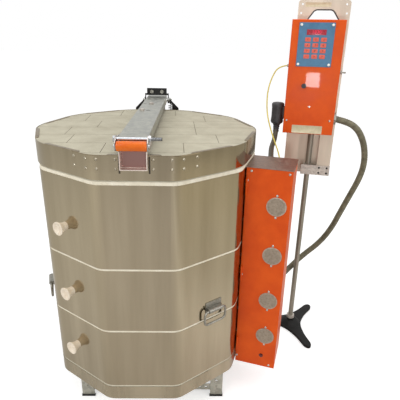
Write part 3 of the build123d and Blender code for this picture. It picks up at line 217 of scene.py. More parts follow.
# The points carry the radius, because a curve's box is as wide as its points say.
for line, across, roundness in ((power_lead, power_d, 6), (sensor_wire, wire_d, 3)):
    line.data.bevel_depth = 1.0
    line.data.bevel_resolution = roundness
    line.data.use_fill_caps = True
    for point in line.data.splines[0].points:
        point.radius = across / 2
for piece, node, slot_name in ((conduit_tube, "conduit", "conduit_sheath"),
                               (power_lead, "power_cable", "black_rubber"),
                               (sensor_wire, "thermocouple_wire", "yellow_wire")):
    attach(piece, "kiln")
    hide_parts(node)
print("cords made; conduit has", len(conduit_points), "rings")

# %% [markdown]
# ## Shared effects
# Most finishes here need the same few effects: a soft mottle, a crystal pattern, open pores,
# painted highlights on edges, and a fine unevenness for the light to catch. Copied into each
# material, their nodes would have to be changed one by one. So each effect is a node group with
# its own inputs, made once and placed in every material that wants it.

# %% Node group helpers
FLOAT, VECTOR = "NodeSocketFloat", "NodeSocketVector"


def group_shell(name, outcome, kind, **inputs):
    """An empty node group with named inputs and one output, and its two end nodes."""
    tree = bpy.data.node_groups.new(name, "ShaderNodeTree")
    for label, value in inputs.items():
        socket_kind = FLOAT if isinstance(value, float) else VECTOR
        socket = tree.interface.new_socket(label, in_out="INPUT", socket_type=socket_kind)
        socket.default_value = value
    tree.interface.new_socket(outcome, in_out="OUTPUT", socket_type=kind)
    return tree, tree.nodes.new("NodeGroupInput"), tree.nodes.new("NodeGroupOutput")


def add_node(tree, kind, **values):
    """A shader node of a kind, with settings and input values given by name."""
    node = tree.nodes.new("ShaderNode" + kind)
    for key, value in values.items():
        if hasattr(node, key):
            setattr(node, key, value)
        else:
            set_inputs(node, **{key: value})
    return node


def set_inputs(node, **values):
    """Values for a node's own inputs, given by name."""
    for key, value in values.items():
        node.inputs[key.replace("_", " ")].default_value = value


def wire(tree, *joins):
    """Links, each told as a node and its output, then a node and its input."""
    for giver, given, taker, taken in joins:
        tree.links.new(giver.outputs[given], taker.inputs[taken])


def noise_over(tree, ins, **values):
    """Soft noise over the object's own space, stretched and scaled by the group's inputs."""
    place = add_node(tree, "TexCoord")
    stretch = add_node(tree, "VectorMath", operation="MULTIPLY")
    noise = add_node(tree, "TexNoise", **values)
    wire(tree, (place, "Object", stretch, 0), (ins, "Stretch", stretch, 1),
         (stretch, "Vector", noise, "Vector"), (ins, "Scale", noise, "Scale"))
    return noise


def cells_over(tree, ins):
    """Round cells over the object's own space, scaled by the group's input."""
    place = add_node(tree, "TexCoord")
    cells = add_node(tree, "TexVoronoi")
    wire(tree, (place, "Object", cells, "Vector"), (ins, "Scale", cells, "Scale"))
    return cells


def colour_mix(tree):
    """A mix of two colours: the node, its two colour inputs and its colour output."""
    mix = add_node(tree, "Mix", data_type="RGBA")
    first, second = [socket for socket in mix.inputs if socket.type == "RGBA"]
    return mix, first, second, [socket for socket in mix.outputs if socket.type == "RGBA"][0]


# %% Painted highlights on edges
def make_edge_highlights():
    """Painted highlights: pale edges on a dark middle, 1 outside a half width or below a height, 0 within.
    """
    tree, ins, outs = group_shell("edge_highlights", "Mask", FLOAT, Half=0.035, Low=0.0)
    place = add_node(tree, "TexCoord")
    apart = add_node(tree, "SeparateXYZ")
    wide = add_node(tree, "Math", operation="ABSOLUTE")
    beside = add_node(tree, "Math", operation="GREATER_THAN")
    below = add_node(tree, "Math", operation="LESS_THAN")
    either = add_node(tree, "Math", operation="MAXIMUM")
    wire(tree, (place, "Object", apart, "Vector"), (apart, "X", wide, 0), (wide, "Value", beside, 0),
         (ins, "Half", beside, 1), (apart, "Z", below, 0), (ins, "Low", below, 1),
         (beside, "Value", either, 0), (below, "Value", either, 1), (either, "Value", outs, "Mask"))
    return tree


# %% Mottle and crystals
def make_mottle():
    """Cloudy patches: the share of the second colour, from soft noise."""
    tree, ins, outs = group_shell("mottle", "Mask", FLOAT, Scale=20.0, Low=0.35, High=0.65,
                                  Stretch=(1.0, 1.0, 1.0))
    noise = noise_over(tree, ins, Detail=4.0, Roughness=0.6)
    spread = add_node(tree, "MapRange")
    wire(tree, (noise, "Fac", spread, "Value"), (ins, "Low", spread, "From Min"),
         (ins, "High", spread, "From Max"), (spread, "Result", outs, "Mask"))
    return tree


def make_crystals():
    """Flat patches with sharp borders, as on hot-dip zinc."""
    tree, ins, outs = group_shell("crystals", "Mask", FLOAT, Scale=60.0)
    cells = cells_over(tree, ins)
    split = add_node(tree, "SeparateColor")
    wire(tree, (cells, "Color", split, "Color"), (split, "Red", outs, "Mask"))
    return tree


# %% Grain and pits
def make_grain():
    """A fine unevenness for the normal: noise turned into a bump."""
    tree, ins, outs = group_shell("grain", "Normal", VECTOR, Scale=400.0, Strength=0.2, Depth=0.001,
                                  Stretch=(1.0, 1.0, 1.0))
    noise = noise_over(tree, ins, Detail=3.0)
    bump = add_node(tree, "Bump")
    wire(tree, (ins, "Strength", bump, "Strength"), (ins, "Depth", bump, "Distance"),
         (noise, "Fac", bump, "Height"), (bump, "Normal", outs, "Normal"))
    return tree


def make_pits():
    """Open pores of firebrick: how deep a point lies in a pit, from 0 to 1."""
    tree, ins, outs = group_shell("pits", "Mask", FLOAT, Scale=300.0, Size=0.35)
    cells = cells_over(tree, ins)
    spread = add_node(tree, "MapRange", From_Min=0.0, To_Min=1.0, To_Max=0.0)
    wire(tree, (cells, "Distance", spread, "Value"), (ins, "Size", spread, "From Max"),
         (spread, "Result", outs, "Mask"))
    return tree


# %% Make each effect once
effects = {"edge_highlights": make_edge_highlights(), "mottle": make_mottle(), "crystals": make_crystals(),
           "grain": make_grain(), "pits": make_pits()}
print("effects:", ", ".join(effects))

# %% [markdown]
# ## A finish in one call
# Laid out by hand each time, some forty materials would drift apart. They all start the same
# way instead: two related colours mixed by one effect, a roughness that follows the same
# patches, and a grain for the light. The shader itself stays in the material, and whatever is
# the same all over is set on the shader's own sockets.

# %% Build a finish
finishes = {}


def mottled(scale, stretch=1.0, **limits):
    """Cloudy patches; a stretch below 1 draws them out along Z."""
    return "mottle", {"Scale": scale, "Stretch": (1.0, 1.0, stretch), **limits}


def crystalline(scale):
    """Flat patches with sharp borders, so many to the metre."""
    return "crystals", {"Scale": scale}


def grainy(scale, strength, depth=0.001, stretch=1.0):
    """How fine, how strong and how deep the grain is, and how far it is drawn out along Z."""
    return {"Scale": scale, "Strength": strength, "Depth": depth, "Stretch": (1.0, 1.0, stretch)}


def effect(tree, name, **values):
    """One of the shared effects, placed in a material with its own values."""
    return add_node(tree, "Group", node_tree=effects[name], **values)


def linear(red, green, blue):
    """A colour picked on screen, as the shader wants it."""
    screen = [v / 255 for v in (red, green, blue)]
    return [((v + 0.055) / 1.055) ** 2.4 if v > 10 / 255 else v / 12.92 for v in screen] + [1.0]


def add_finish(name, dark, light, rough, metal, pattern, grain, coat=0.0, pores=None, **sockets):
    """Two screen colours, two roughness values, the effect that mixes them and the grain."""
    material = bpy.data.materials.new(name)
    material.use_nodes = True
    tree = material.node_tree
    shader = tree.nodes["Principled BSDF"]
    set_inputs(shader, Metallic=metal, Coat_Weight=coat, **sockets)
    mask = effect(tree, pattern[0], **pattern[1])
    blend, first, second, colour = colour_mix(tree)
    first.default_value = linear(*dark)
    second.default_value = linear(*light)
    wire(tree, (mask, "Mask", blend, "Factor"))
    if pores:
        pore_scale, pore_size, pore_colour = pores
        holes = effect(tree, "pits", Scale=pore_scale, Size=pore_size)
        sunk, first, second, pored = colour_mix(tree)
        second.default_value = linear(*pore_colour)
        wire(tree, (holes, "Mask", sunk, "Factor"))
        tree.links.new(colour, first)
        colour = pored
    tree.links.new(colour, shader.inputs["Base Color"])
    spread = add_node(tree, "MapRange", To_Min=rough[0], To_Max=rough[1])
    wire(tree, (mask, "Mask", spread, "Value"), (spread, "Result", shader, "Roughness"))
    if grain:
        relief = effect(tree, "grain", **grain)
        wire(tree, (relief, "Normal", shader, "Normal"))
    finishes[name] = material


# %% [markdown]
# ## The plain finishes
# Rubber, plastic, ceramic and plated wire differ in colour, in shine, and in how coarse their
# patches and grain are. A call for each would repeat the same words, so they are rows of a
# table, and only the finishes that need something more get a call of their own below.

# %% The plain finishes
# Dark and light colour, roughness there, metal, scale of the mottle, scale and strength of the grain.
plain_finishes = {
    "dark_wire": ((34, 33, 31), (58, 56, 52), (0.4, 0.55), 0, 150, 600, 0.1),
    "bright_zinc": ((222, 222, 216), (246, 246, 241), (0.35, 0.45), 0.3, 150, 600, 0.08),
    # Darker than the jacket steel: painted shade along the lips' folded edge.
    "lip_steel_painted_shade": ((112, 100, 80), (140, 127, 105), (0.4, 0.5), 0.5, 30, 300, 0.1),
    "chrome": ((196, 199, 204), (220, 223, 227), (0.06, 0.12), 1, 150, 600, 0.03),
    # A dark finish that carries painted shade in a narrow gap.
    "gap_painted_shade": ((46, 38, 26), (66, 56, 40), (0.6, 0.75), 0, 90, 600, 0.1),
    "screw_steel": ((158, 150, 132), (190, 182, 164), (0.25, 0.35), 0.9, 150, 600, 0.08),
    "lead_rubber": ((64, 56, 44), (90, 80, 64), (0.5, 0.65), 0, 90, 600, 0.2),
    "fitting_zinc": ((126, 124, 116), (160, 157, 148), (0.3, 0.42), 0.8, 150, 600, 0.1),
    "plug_ceramic": ((232, 214, 190), (246, 234, 214), (0.55, 0.75), 0, 60, 700, 0.2),
    "porcelain": ((225, 220, 205), (240, 237, 226), (0.4, 0.55), 0, 120, 800, 0.1),
    "element_wire": ((70, 66, 62), (104, 98, 90), (0.5, 0.7), 0.6, 200, 900, 0.3),
    "brass": ((170, 130, 70), (198, 160, 96), (0.25, 0.4), 1, 150, 500, 0.1),
    "zinc": ((176, 176, 172), (205, 204, 198), (0.2, 0.32), 1, 180, 600, 0.08),
    "black_rubber": ((30, 29, 28), (46, 44, 42), (0.6, 0.8), 0, 90, 600, 0.2),
    "black_plastic": ((44, 42, 44), (62, 60, 62), (0.4, 0.55), 0, 60, 700, 0.15),
    "vent_mesh": ((160, 147, 132), (188, 174, 158), (0.35, 0.55), 0.8, 120, 900, 0.2),
    "keypad_film": ((60, 108, 142), (74, 124, 158), (0.35, 0.48), 0, 40, 800, 0.05),
    "key_red": ((214, 84, 64), (230, 106, 84), (0.35, 0.45), 0, 90, 800, 0.05),
    "label_plate": ((206, 196, 160), (222, 213, 182), (0.4, 0.55), 0, 60, 700, 0.05),
    "conduit_sheath": ((88, 83, 62), (122, 116, 92), (0.42, 0.58), 0, 50, 600, 0.15),
    "yellow_wire": ((196, 174, 70), (224, 206, 112), (0.55, 0.7), 0, 300, 900, 0.5),
}
for name, (*tones, patches, grains, strength) in plain_finishes.items():
    add_finish(name, *tones, mottled(patches), grainy(grains, strength))
print(len(finishes), "plain finishes")

# %% [markdown]
# ## The finishes with something of their own
# Steel gets long soft upright streaks of two tones, and on the jackets these streaks are
# painted reflection. Hot-dip zinc has crystals, firebrick has open pores, and paint has a clear
# skin over a fine ripple. A polished jacket is never quite flat, so a wide and very low grain
# bends what it mirrors. A perfectly smooth one would look like glass.

# %% The finishes with something of their own
# Dark and light colour, roughness there, metal, what mixes them, and the grain.
add_finish("galvanised", (140, 141, 134), (172, 172, 163), (0.34, 0.5), 1, crystalline(90),
           grainy(300, 0.15))
# The jackets' upright streaks of two tones are painted reflection.
add_finish("jacket_steel_painted_streaks", (162, 151, 129), (178, 167, 145), (0.08, 0.14), 1, mottled(12, 0.08),
           grainy(9, 0.04, 0.01, 0.3))
add_finish("floor_steel", (158, 148, 127), (184, 173, 151), (0.22, 0.32), 1, mottled(9, 0.2),
           grainy(8, 0.05, 0.01))
add_finish("firebrick", (176, 169, 148), (196, 190, 169), (0.85, 0.95), 0, mottled(16, Low=0.3, High=0.7),
           grainy(900, 0.5, 0.0006), pores=(420, 0.25, (150, 143, 124)))
add_finish("mortar", (128, 121, 104), (150, 142, 124), (0.9, 0.98), 0, mottled(60), grainy(900, 0.5, 0.0004))
# A lighter copy of firebrick: painted light on the ring bricks, which lie in the jackets' shade.
add_finish("ring_brick_painted_light", (236, 226, 202), (250, 242, 222), (0.85, 0.95), 0, mottled(40),
           grainy(900, 0.4, 0.0005), pores=(420, 0.25, (205, 196, 172)))
# The bracket's pale edges are painted highlights on its flanges, and its dark mauve middle is painted
# reflection.
add_finish("bracket_painted_sheen", (148, 115, 110), (224, 211, 202), (0.34, 0.42), 0.9,
           ("edge_highlights", {"Half": 0.0352, "Low": 0.9985}), grainy(30, 0.05, 0.004))
add_finish("pole_steel", (140, 134, 123), (168, 161, 148), (0.42, 0.55), 0.7, mottled(30, 0.1),
           grainy(200, 0.1))
add_finish("clamp_zinc", (176, 168, 160), (206, 199, 190), (0.4, 0.55), 0.6, crystalline(120),
           grainy(400, 0.15))
# A lighter copy of galvanised steel: painted light on the stand's frame and legs, which stand in shade.
add_finish("leg_zinc_painted_light", (170, 168, 156), (198, 196, 184), (0.4, 0.55), 0.6, crystalline(90),
           grainy(300, 0.15))
add_finish("cast_iron", (13, 12, 11), (24, 22, 20), (0.5, 0.65), 0, mottled(60), grainy(300, 0.4),
           Specular_IOR_Level=0.25)
add_finish("dull_zinc", (122, 103, 92), (152, 132, 119), (0.4, 0.55), 0.9, crystalline(140),
           grainy(500, 0.25))
add_finish("beige_steel", (188, 174, 158), (216, 202, 185), (0.36, 0.5), 0.7, mottled(9, 0.15),
           grainy(30, 0.05, 0.004))
add_finish("polished_steel", (158, 151, 147), (190, 184, 179), (0.26, 0.38), 1, mottled(30, 0.1),
           grainy(30, 0.05, 0.004))
add_finish("orange_plastic", (222, 98, 6), (236, 118, 14), (0.2, 0.28), 0, mottled(30), grainy(260, 0.06),
           coat=0.12, Specular_IOR_Level=0.3)
add_finish("orange_paint", (214, 76, 6), (226, 88, 12), (0.3, 0.4), 0, mottled(14),
           grainy(520, 0.12, 0.0008), coat=0.12, Specular_IOR_Level=0.16, Coat_Roughness=0.03)
add_finish("black_paint", (12, 12, 12), (22, 21, 20), (0.28, 0.4), 0, mottled(40), grainy(420, 0.2),
           coat=0.05, Specular_IOR_Level=0.3)
add_finish("red_lens", (70, 8, 8), (104, 14, 12), (0.12, 0.2), 0, mottled(200), None, coat=0.6)
add_finish("circuit_board", (24, 66, 38), (38, 88, 52), (0.35, 0.5), 0, crystalline(220), grainy(500, 0.2))
add_finish("display_red", (150, 10, 36), (176, 18, 48), (0.2, 0.3), 0, mottled(200), None, coat=0.1)
add_finish("display_light", (228, 26, 66), (240, 44, 84), (0.3, 0.4), 0, mottled(200), None,
           Emission_Color=(0.9, 0.02, 0.08, 1.0), Emission_Strength=0.25)
print(len(finishes), "finishes in all")

# %% [markdown]
# ## Dress the nodes that keep their shape
# Most nodes already have the real shape, so they keep their mesh and only get a better
# material. It could be set node by node, but the record already names a slot for each, so
# the slot chooses the finish. A few nodes share a slot but not a finish and are named here.

# %% Give each node its finish
own_finish = {
    "floor_steel": "floor_band", "dull_zinc": "box_top_plate", "bracket_painted_sheen": "lid_bracket",
    "beige_steel": "control_back_plate", "clamp_zinc": "pole_clamps bar_bolts", "pole_steel": "pole",
    "fitting_zinc": "tower_bolts cord_fittings toggle_switch toggle_lever handle_plates "
                    "handle_bail_left handle_bail_right",
    "chrome": "lid_front_rods", "leg_zinc_painted_light": "stand_frame stand_legs", "screw_steel": "lid_screws",
    "ring_brick_painted_light": "ring_1_bricks ring_2_bricks ring_3_bricks",
}
special = {node: finish for finish, members in own_finish.items() for node in members.split()}


def dress(piece, finish):
    """The finish as the piece's only material."""
    piece.data.materials.clear()
    piece.data.materials.append(finishes[finish])


slot_finish = {"stainless": "jacket_steel_painted_streaks"}
for entry in frame["record"]["subparts"]:
    slot = entry["material_slot"]
    dress(nodes[entry["node"]], special.get(entry["node"], slot_finish.get(slot, slot)))
for piece, finish in ((conduit_tube, "conduit_sheath"), (power_lead, "lead_rubber"),
                      (sensor_wire, "yellow_wire")):
    dress(piece, finish)

# %% [markdown]
# ## Working by hand
# Each piece below starts as a simple body at its real size and place. Its faces and edges
# are then picked by where they are or which way they look, and inset, bevelled or cut as
# one would with the mouse. These few helpers keep that short.

# %% Start a piece
X, Y, Z = range(3)
# How near a direction's share of an axis is to 1 or 0, and a height's slack in metres.
STRAIGHT, ALONG, ACROSS, HAIR = 0.99, 0.9, 0.1, 0.0001


def only(*pieces):
    """Selects just these objects; the first is the active one."""
    bpy.ops.object.select_all(action="DESELECT")
    for piece in pieces:
        piece.select_set(True)
    bpy.context.view_layer.objects.active = pieces[0]


def settle(piece, place=None):
    """Carries a piece to its place and applies it, so that its object sits at the origin."""
    bpy.context.view_layer.update()
    if place is not None:
        piece.matrix_world = place @ piece.matrix_world
    only(piece)
    bpy.ops.object.transform_apply(location=True, rotation=True, scale=True)
    return piece


def begin(kind, name, **values):
    """A primitive at its size and place, with nothing else selected."""
    bpy.ops.object.select_all(action="DESELECT")
    getattr(bpy.ops.mesh, f"primitive_{kind}_add")(**values)
    piece = bpy.context.active_object
    piece.name = name
    return settle(piece)


def begin_block(name, low, high):
    """A block between two corners, given in millimetres."""
    return begin("cube", name, size=1, location=[(a + b) / 2 * MM for a, b in zip(low, high)],
                 scale=[(b - a) * MM for a, b in zip(low, high)])


# %% [markdown]
# ## Picking in code
# An operator works on all that is selected. Faces could be picked by their numbers, but these
# change with every cut, so they are chosen by where they lie or which way they look.

# %% Pick faces and edges
def pick(piece, kind, chosen):
    """Goes into edit mode with only the chosen faces or edges selected, and counts them."""
    only(piece)
    bpy.ops.object.mode_set(mode="EDIT")
    bpy.ops.mesh.select_mode(type=kind)
    bpy.ops.mesh.select_all(action="DESELECT")
    mesh = bmesh.from_edit_mesh(piece.data)
    parts = mesh.faces if kind == "FACE" else mesh.edges
    picked = [part for part in parts if chosen(part)]
    for part in picked:
        part.select_set(True)
    bmesh.update_edit_mesh(piece.data)
    return len(picked)


def leave():
    """Back to object mode."""
    bpy.ops.object.mode_set(mode="OBJECT")


def middle_of(edge):
    return (edge.verts[0].co + edge.verts[1].co) / 2


def direction_of(edge):
    return (edge.verts[1].co - edge.verts[0].co).normalized()


def runs(axis):
    """Chooses the edges that run along an axis."""
    return lambda edge: abs(direction_of(edge)[axis]) > ALONG


def rim_over(level):
    """Chooses the level edges above a height in metres."""
    return lambda edge: middle_of(edge).z > level and abs(direction_of(edge).z) < ACROSS


def looks(axis, sign):
    """Chooses the faces that look straight along an axis, to its plus or minus side."""
    return lambda face: face.normal[axis] * sign > STRAIGHT


# %% Work what is picked
def bevel(piece, chosen, offset, segments):
    """Rounds the chosen edges, or cuts them off flat with one segment."""
    pick(piece, "EDGE", chosen)
    bpy.ops.mesh.bevel(offset=offset, segments=segments, affect="EDGES")
    leave()


def inset(piece, chosen, *steps):
    """Insets the chosen faces step by step; each step is a width and a rise."""
    pick(piece, "FACE", chosen)
    for width, rise in steps:
        bpy.ops.mesh.inset(thickness=width, depth=rise)
    leave()


def cut_away(piece, chosen):
    """Deletes the chosen faces."""
    pick(piece, "FACE", chosen)
    bpy.ops.mesh.delete(type="FACE")
    leave()


def give_body(sheet, kind, **settings):
    """Gives a bare sheet its body by a modifier, and applies it."""
    only(sheet)
    modifier = sheet.modifiers.new("body", kind)
    for key, value in settings.items():
        setattr(modifier, key, value)
    bpy.ops.object.modifier_apply(modifier=modifier.name)


# %% [markdown]
# ## Copies, and the last step of each piece
# What repeats is modelled once and copied. Each copy has its own mesh, so that its place can
# be applied to it. Every piece then ends in the same way: its normals look outwards, its round
# faces are shaded smooth, and it gets its finish and the body that it rides on.

# %% Join, copy and complete
def joined(*pieces):
    """The pieces as one object, which keeps the first one's name."""
    only(*pieces)
    bpy.ops.object.join()
    return pieces[0]


def copies(piece, places):
    """One copy of a finished piece at each place, each with its own mesh, joined to one object."""
    made = []
    for place in places:
        twin = piece.copy()
        twin.data = piece.data.copy()
        bpy.context.scene.collection.objects.link(twin)
        settle(twin, place)
        made.append(twin)
    name = piece.name
    bpy.data.objects.remove(piece)
    joined(*made).name = name
    return made[0]


def complete(piece, body, finish, stands_for=None, smooth=40):
    """Outward normals, soft shading, its finish, and the body that carries it."""
    only(piece)
    bpy.ops.object.mode_set(mode="EDIT")
    bpy.ops.mesh.select_all(action="SELECT")
    bpy.ops.mesh.normals_make_consistent(inside=False)
    leave()
    bpy.ops.object.shade_smooth_by_angle(angle=radians(smooth))
    dress(piece, finish)
    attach(piece, body)
    if stands_for:
        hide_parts(stands_for)
    print(piece.name, len(piece.data.polygons), "faces")


# %% Places on the kiln
def moved(x, y, z):
    """A shift given in millimetres."""
    return Matrix.Translation((x * MM, y * MM, z * MM))


# The box and the control head are measured along, into and up from their own faces.
box_turn, head_turn, head_origin = 72, -13, (656, 249)
box_place = Matrix.Rotation(radians(box_turn), 4, "Z")
head_place = moved(*head_origin, 0) @ Matrix.Rotation(radians(head_turn), 4, "Z")
forward = Matrix.Rotation(radians(90), 4, "X")


def on_head(x, front, z):
    """A place on the control head whose Z looks out of it, in millimetres."""
    return head_place @ moved(x, -front, z) @ forward


print("ready to model by hand")

# %% [markdown]
# ## The lid's bricks
# A kiln lid is made of soft firebricks cemented edge to edge and ground flat, so its top
# shows rows of bricks with thin, slightly sunken joints. Laid as separate blocks, each brick
# at the rim would need a slanting cut of its own, so the lid starts as one ten-sided slab. The
# rows are cut right across it, each row is then cut at its own joints, and every brick's
# face is inset and raised a little, so that the mortar stays behind.

# %% Cut the slab into bricks
lid_low, lid_high = 0.9553, 1.0315
slab_flat, front_bend, ground_bend, front_edge = 0.3732, 0.0687, 0.165, -0.3
joint_half, joint_deep = 0.0010, 0.0012
half_step = radians(18)
corner_share, bend_segments = 1.04, 9


def ten_sided(name, flat, low, high, grow=0.0):
    """A ten-sided slab: the two front corners keep the band's bend, the others are ground rounder."""
    body = begin("cylinder", name, vertices=10, radius=flat / cos(half_step), depth=high - low,
                 location=(0, 0, (low + high) / 2), rotation=(0, 0, half_step))
    for front, bend in ((True, front_bend + grow), (False, ground_bend + grow)):
        bevel(body, lambda edge: runs(Z)(edge) and middle_of(edge).xy.length > flat * corner_share
              and (middle_of(edge).y < front_edge) == front, bend * tan(half_step), bend_segments)
    return body


slab = ten_sided("lid_bricks", slab_flat, lid_low + joint_deep, lid_high - joint_deep)
rows_turn = radians(2.5)
along_row = Vector((cos(rows_turn), sin(rows_turn), 0))
over_rows = Vector((-sin(rows_turn), cos(rows_turn), 0))
row_depth = 0.1143
# Each row's joints, by their distance from its middle.
row_joints = {-4: (0.0,), -3: (-0.113, 0.121), -2: (-0.231, 0.0, 0.231), -1: (-0.264, -0.035, 0.167),
              0: (-0.178, 0.03, 0.167), 1: (-0.242, -0.014, 0.213), 2: (-0.123, 0.099), 3: (-0.01,)}
for row in list(row_joints)[1:]:
    pick(slab, "FACE", lambda face: True)
    bpy.ops.mesh.bisect(plane_co=over_rows * row * row_depth, plane_no=over_rows)
    leave()
for row, joints in row_joints.items():
    for joint in joints:
        pick(slab, "FACE", lambda face: row < face.calc_center_median().dot(over_rows) / row_depth < row + 1)
        bpy.ops.mesh.bisect(plane_co=along_row * joint, plane_no=along_row)
        leave()
for side in (1, -1):
    bricks = pick(slab, "FACE", looks(Z, side))
    bpy.ops.mesh.inset(thickness=joint_half, use_individual=True)
    bpy.ops.transform.translate(value=(0, 0, side * joint_deep))
    leave()
complete(slab, "lid", "firebrick", stands_for="lid_slab", smooth=30)
slab.data.materials.append(finishes["mortar"])
mortar_level = lid_high - joint_deep
for face in slab.data.polygons:
    flank = abs(face.normal.z) < ALONG and face.center.z > mortar_level
    if flank or abs(face.center.z - mortar_level) < HAIR:
        face.material_index = 1
print("bricks in the lid:", bricks)

# %% [markdown]
# ## The lid's steel band
# A strip of thin sheet is drawn tight round the bricks and its upper edge is folded over
# them in ten short lips, with the corners left open. The band is the outline of the slab
# with its top and bottom removed, given its thickness by the solidify modifier. The lips
# could be extruded from it, but as blocks of their own they leave the corners open by
# themselves, so one lip is modelled and copied to each side.

# %% Wrap the band and fold its lips
band_flat, sheet, band_low, band_grow = 0.3745, 0.001, 0.9593, 0.0013
band = ten_sided("band_skin", band_flat, band_low, lid_high + sheet, band_grow)
cut_away(band, lambda face: abs(face.normal.z) > ALONG)
first_side = band.data.polygons[0]
looks_out = first_side.normal.dot(first_side.center) > 0
give_body(band, "SOLIDIFY", thickness=sheet, offset=-1.0 if looks_out else 1.0)
lip_half, lip_start, lip_end, lip_high, lip_fold = 75.0, 0.5, 12.0, 1.6, -0.364
lip_corner, lip_round = 0.006, 0.0005
lip = begin_block("band_lips", (-lip_half, -band_flat / MM + lip_start, lid_high / MM),
                  (lip_half, -band_flat / MM + lip_end, lid_high / MM + lip_high))
bevel(lip, lambda edge: runs(Z)(edge) and middle_of(edge).y > lip_fold, lip_corner, 1)
bevel(lip, lambda edge: middle_of(edge).z > lid_high + (lip_high - 0.1) * MM, lip_round, 2)
lips = copies(lip, [Matrix.Rotation(index * 2 * half_step, 4, "Z") for index in range(10)])
# The lips' darker colour is painted shade along the fold.
complete(lips, "lid", "lip_steel_painted_shade")
complete(band, "lid", "jacket_steel_painted_streaks", stands_for="lid_band", smooth=30)

# %% [markdown]
# ## The lid's grip
# The grip is a moulded sleeve on its rod. It starts as a cylinder at full size. Its rims are
# rounded over, its ends are inset to the rod, and the two inner discs are bridged, which
# drills the bore. A boolean would drill it too, but it leaves thin, ragged faces at the rims.

# %% Round and bore the grip
grip_radius, grip_length, grip_rim, grip_wall = 0.0135, 0.0814, 0.0035, 0.0047
grip_middle = (0, -0.41, 1.067)
grip = begin("cylinder", "grip_sleeve", vertices=48, radius=grip_radius, depth=grip_length,
             location=grip_middle, rotation=(0, radians(90), 0))
bevel(grip, lambda edge: abs(direction_of(edge).x) < ACROSS, grip_rim, 5)
pick(grip, "FACE", lambda face: abs(face.normal.x) > STRAIGHT)
bpy.ops.mesh.inset(thickness=grip_wall)
bpy.ops.mesh.bridge_edge_loops()
leave()
complete(grip, "lid", "orange_plastic", stands_for="lid_grip")

# %% [markdown]
# ## The keypad
# The control panel's face is a printed film with soft keys under it. A picture laid on one
# face would be flat from the side and blurred from near, so each part is modelled. The film
# is a thin block with rounded corners. One key is modelled with a soft rim and laid out in a
# grid of three by four. The window is a thin red lens over the display.

# %% Film, keys and window
film_face, film_left, film_low = 93.0, -91.0, 1236.0
film_width, film_height, film_deep = 128.0, 154.0, 1.6
film_front, film_middle = film_face + film_deep, film_left + film_width / 2


def panel(name, left, low, width, height, back, deep, corner, steps, finish="label_plate", stands_for=None):
    """A thin block on the head in millimetres, with its corners rounded and its face worked."""
    piece = begin_block(name, (left, -back - deep, low), (left + width, -back, low + height))
    if corner:
        bevel(piece, runs(Y), *corner)
    inset(piece, looks(Y, -1), *steps)
    settle(piece, head_place)
    complete(piece, "kiln", finish, stands_for)


film_corner, film_steps = (0.003, 5), ((0.0006, 0.0002), (0.0010, 0))
panel("keypad_film", film_left, film_low, film_width, film_height, film_face, film_deep, film_corner,
      film_steps, "keypad_film", "keypad_overlay")

key_wide, key_high, key_rise = 20.5, 14.5, 0.9
key_gap_across, key_gap_up, first_key_z = 28.5, 19.8, 1272.0
key_corner, key_rim = 0.0025, (0.0007, 0.0003)
key = begin_block("keypad_keys", (-key_wide / 2, -film_front - key_rise, -key_high / 2),
                  (key_wide / 2, -film_front, key_high / 2))
bevel(key, runs(Y), key_corner, 4)
inset(key, looks(Y, -1), key_rim)
key_places = [(film_middle + (column - 1) * key_gap_across, first_key_z + row * key_gap_up)
              for row in (3, 2, 1, 0) for column in (0, 1, 2)]
keys = copies(key, [head_place @ moved(x, 0, z) for x, z in key_places])
complete(keys, "kiln", "key_red")

window_wide, window_high, window_low, window_rise, window_rim = 70.0, 19.0, 1347.0, 0.6, (0.0015, 0.0003)
panel("keypad_window", film_middle - window_wide / 2, window_low, window_wide, window_high, film_front,
      window_rise, None, [window_rim], "display_red")

# %% [markdown]
# ## Lettering
# The keys' marks and the display's figures stand a hair proud of their ground. A text object
# has their outlines already, so it only gets a little depth. It is made a mesh before it is
# carried to its place, because the place has to end up in the mesh. The figures are generic.

# %% Flat lettering for the keys and the window
letter_depth = 0.00012


def lettering(name, text, size, x, front, z):
    """Flat figures on the head, facing out, centred on a place in millimetres."""
    bpy.ops.object.select_all(action="DESELECT")
    bpy.ops.object.text_add()
    words = bpy.context.active_object
    words.name = name
    words.data.body = text
    words.data.size = size * MM
    words.data.align_x = "CENTER"
    words.data.align_y = "CENTER"
    words.data.resolution_u = 3
    words.data.extrude = letter_depth
    only(words)
    bpy.ops.object.convert(target="MESH")
    return settle(bpy.context.active_object, on_head(x, front, z))


mark_size, figure_size, mark_rise, figure_rise = 10.0, 17.0, 0.4, 1.1
marks = [lettering(f"mark_{index}", text, mark_size, x, film_front + key_rise + mark_rise, z)
         for index, (text, (x, z)) in enumerate(zip("123456789-0+", key_places))]
joined(*marks).name = "key_marks"
complete(marks[0], "kiln", "black_plastic")
figures = lettering("window_figures", "1830", figure_size, film_middle, film_front + figure_rise,
                    window_low + window_high / 2)
complete(figures, "kiln", "display_light")

# %% [markdown]
# ## Blank plates
# Two small plates are fixed to the control head, one at the foot of the case and one above
# the hand hole. Both are bare. Each has rounded corners and a raised rim round its field. A
# scaled copy of one would scale its corners too, so both are made at their own size.

# %% Two bare plates
plate_deep, plate_face = 0.8, 17.0
plate_corner, plate_steps = (0.002, 4), ((0.0012, 0), (0.0004, -0.0003))
panel("case_plate", left=-83, low=983, width=116, height=31, back=film_face, deep=plate_deep,
      corner=plate_corner, steps=plate_steps)
panel("head_plate", left=-76, low=1446, width=94, height=15, back=plate_face, deep=plate_deep,
      corner=plate_corner, steps=plate_steps)
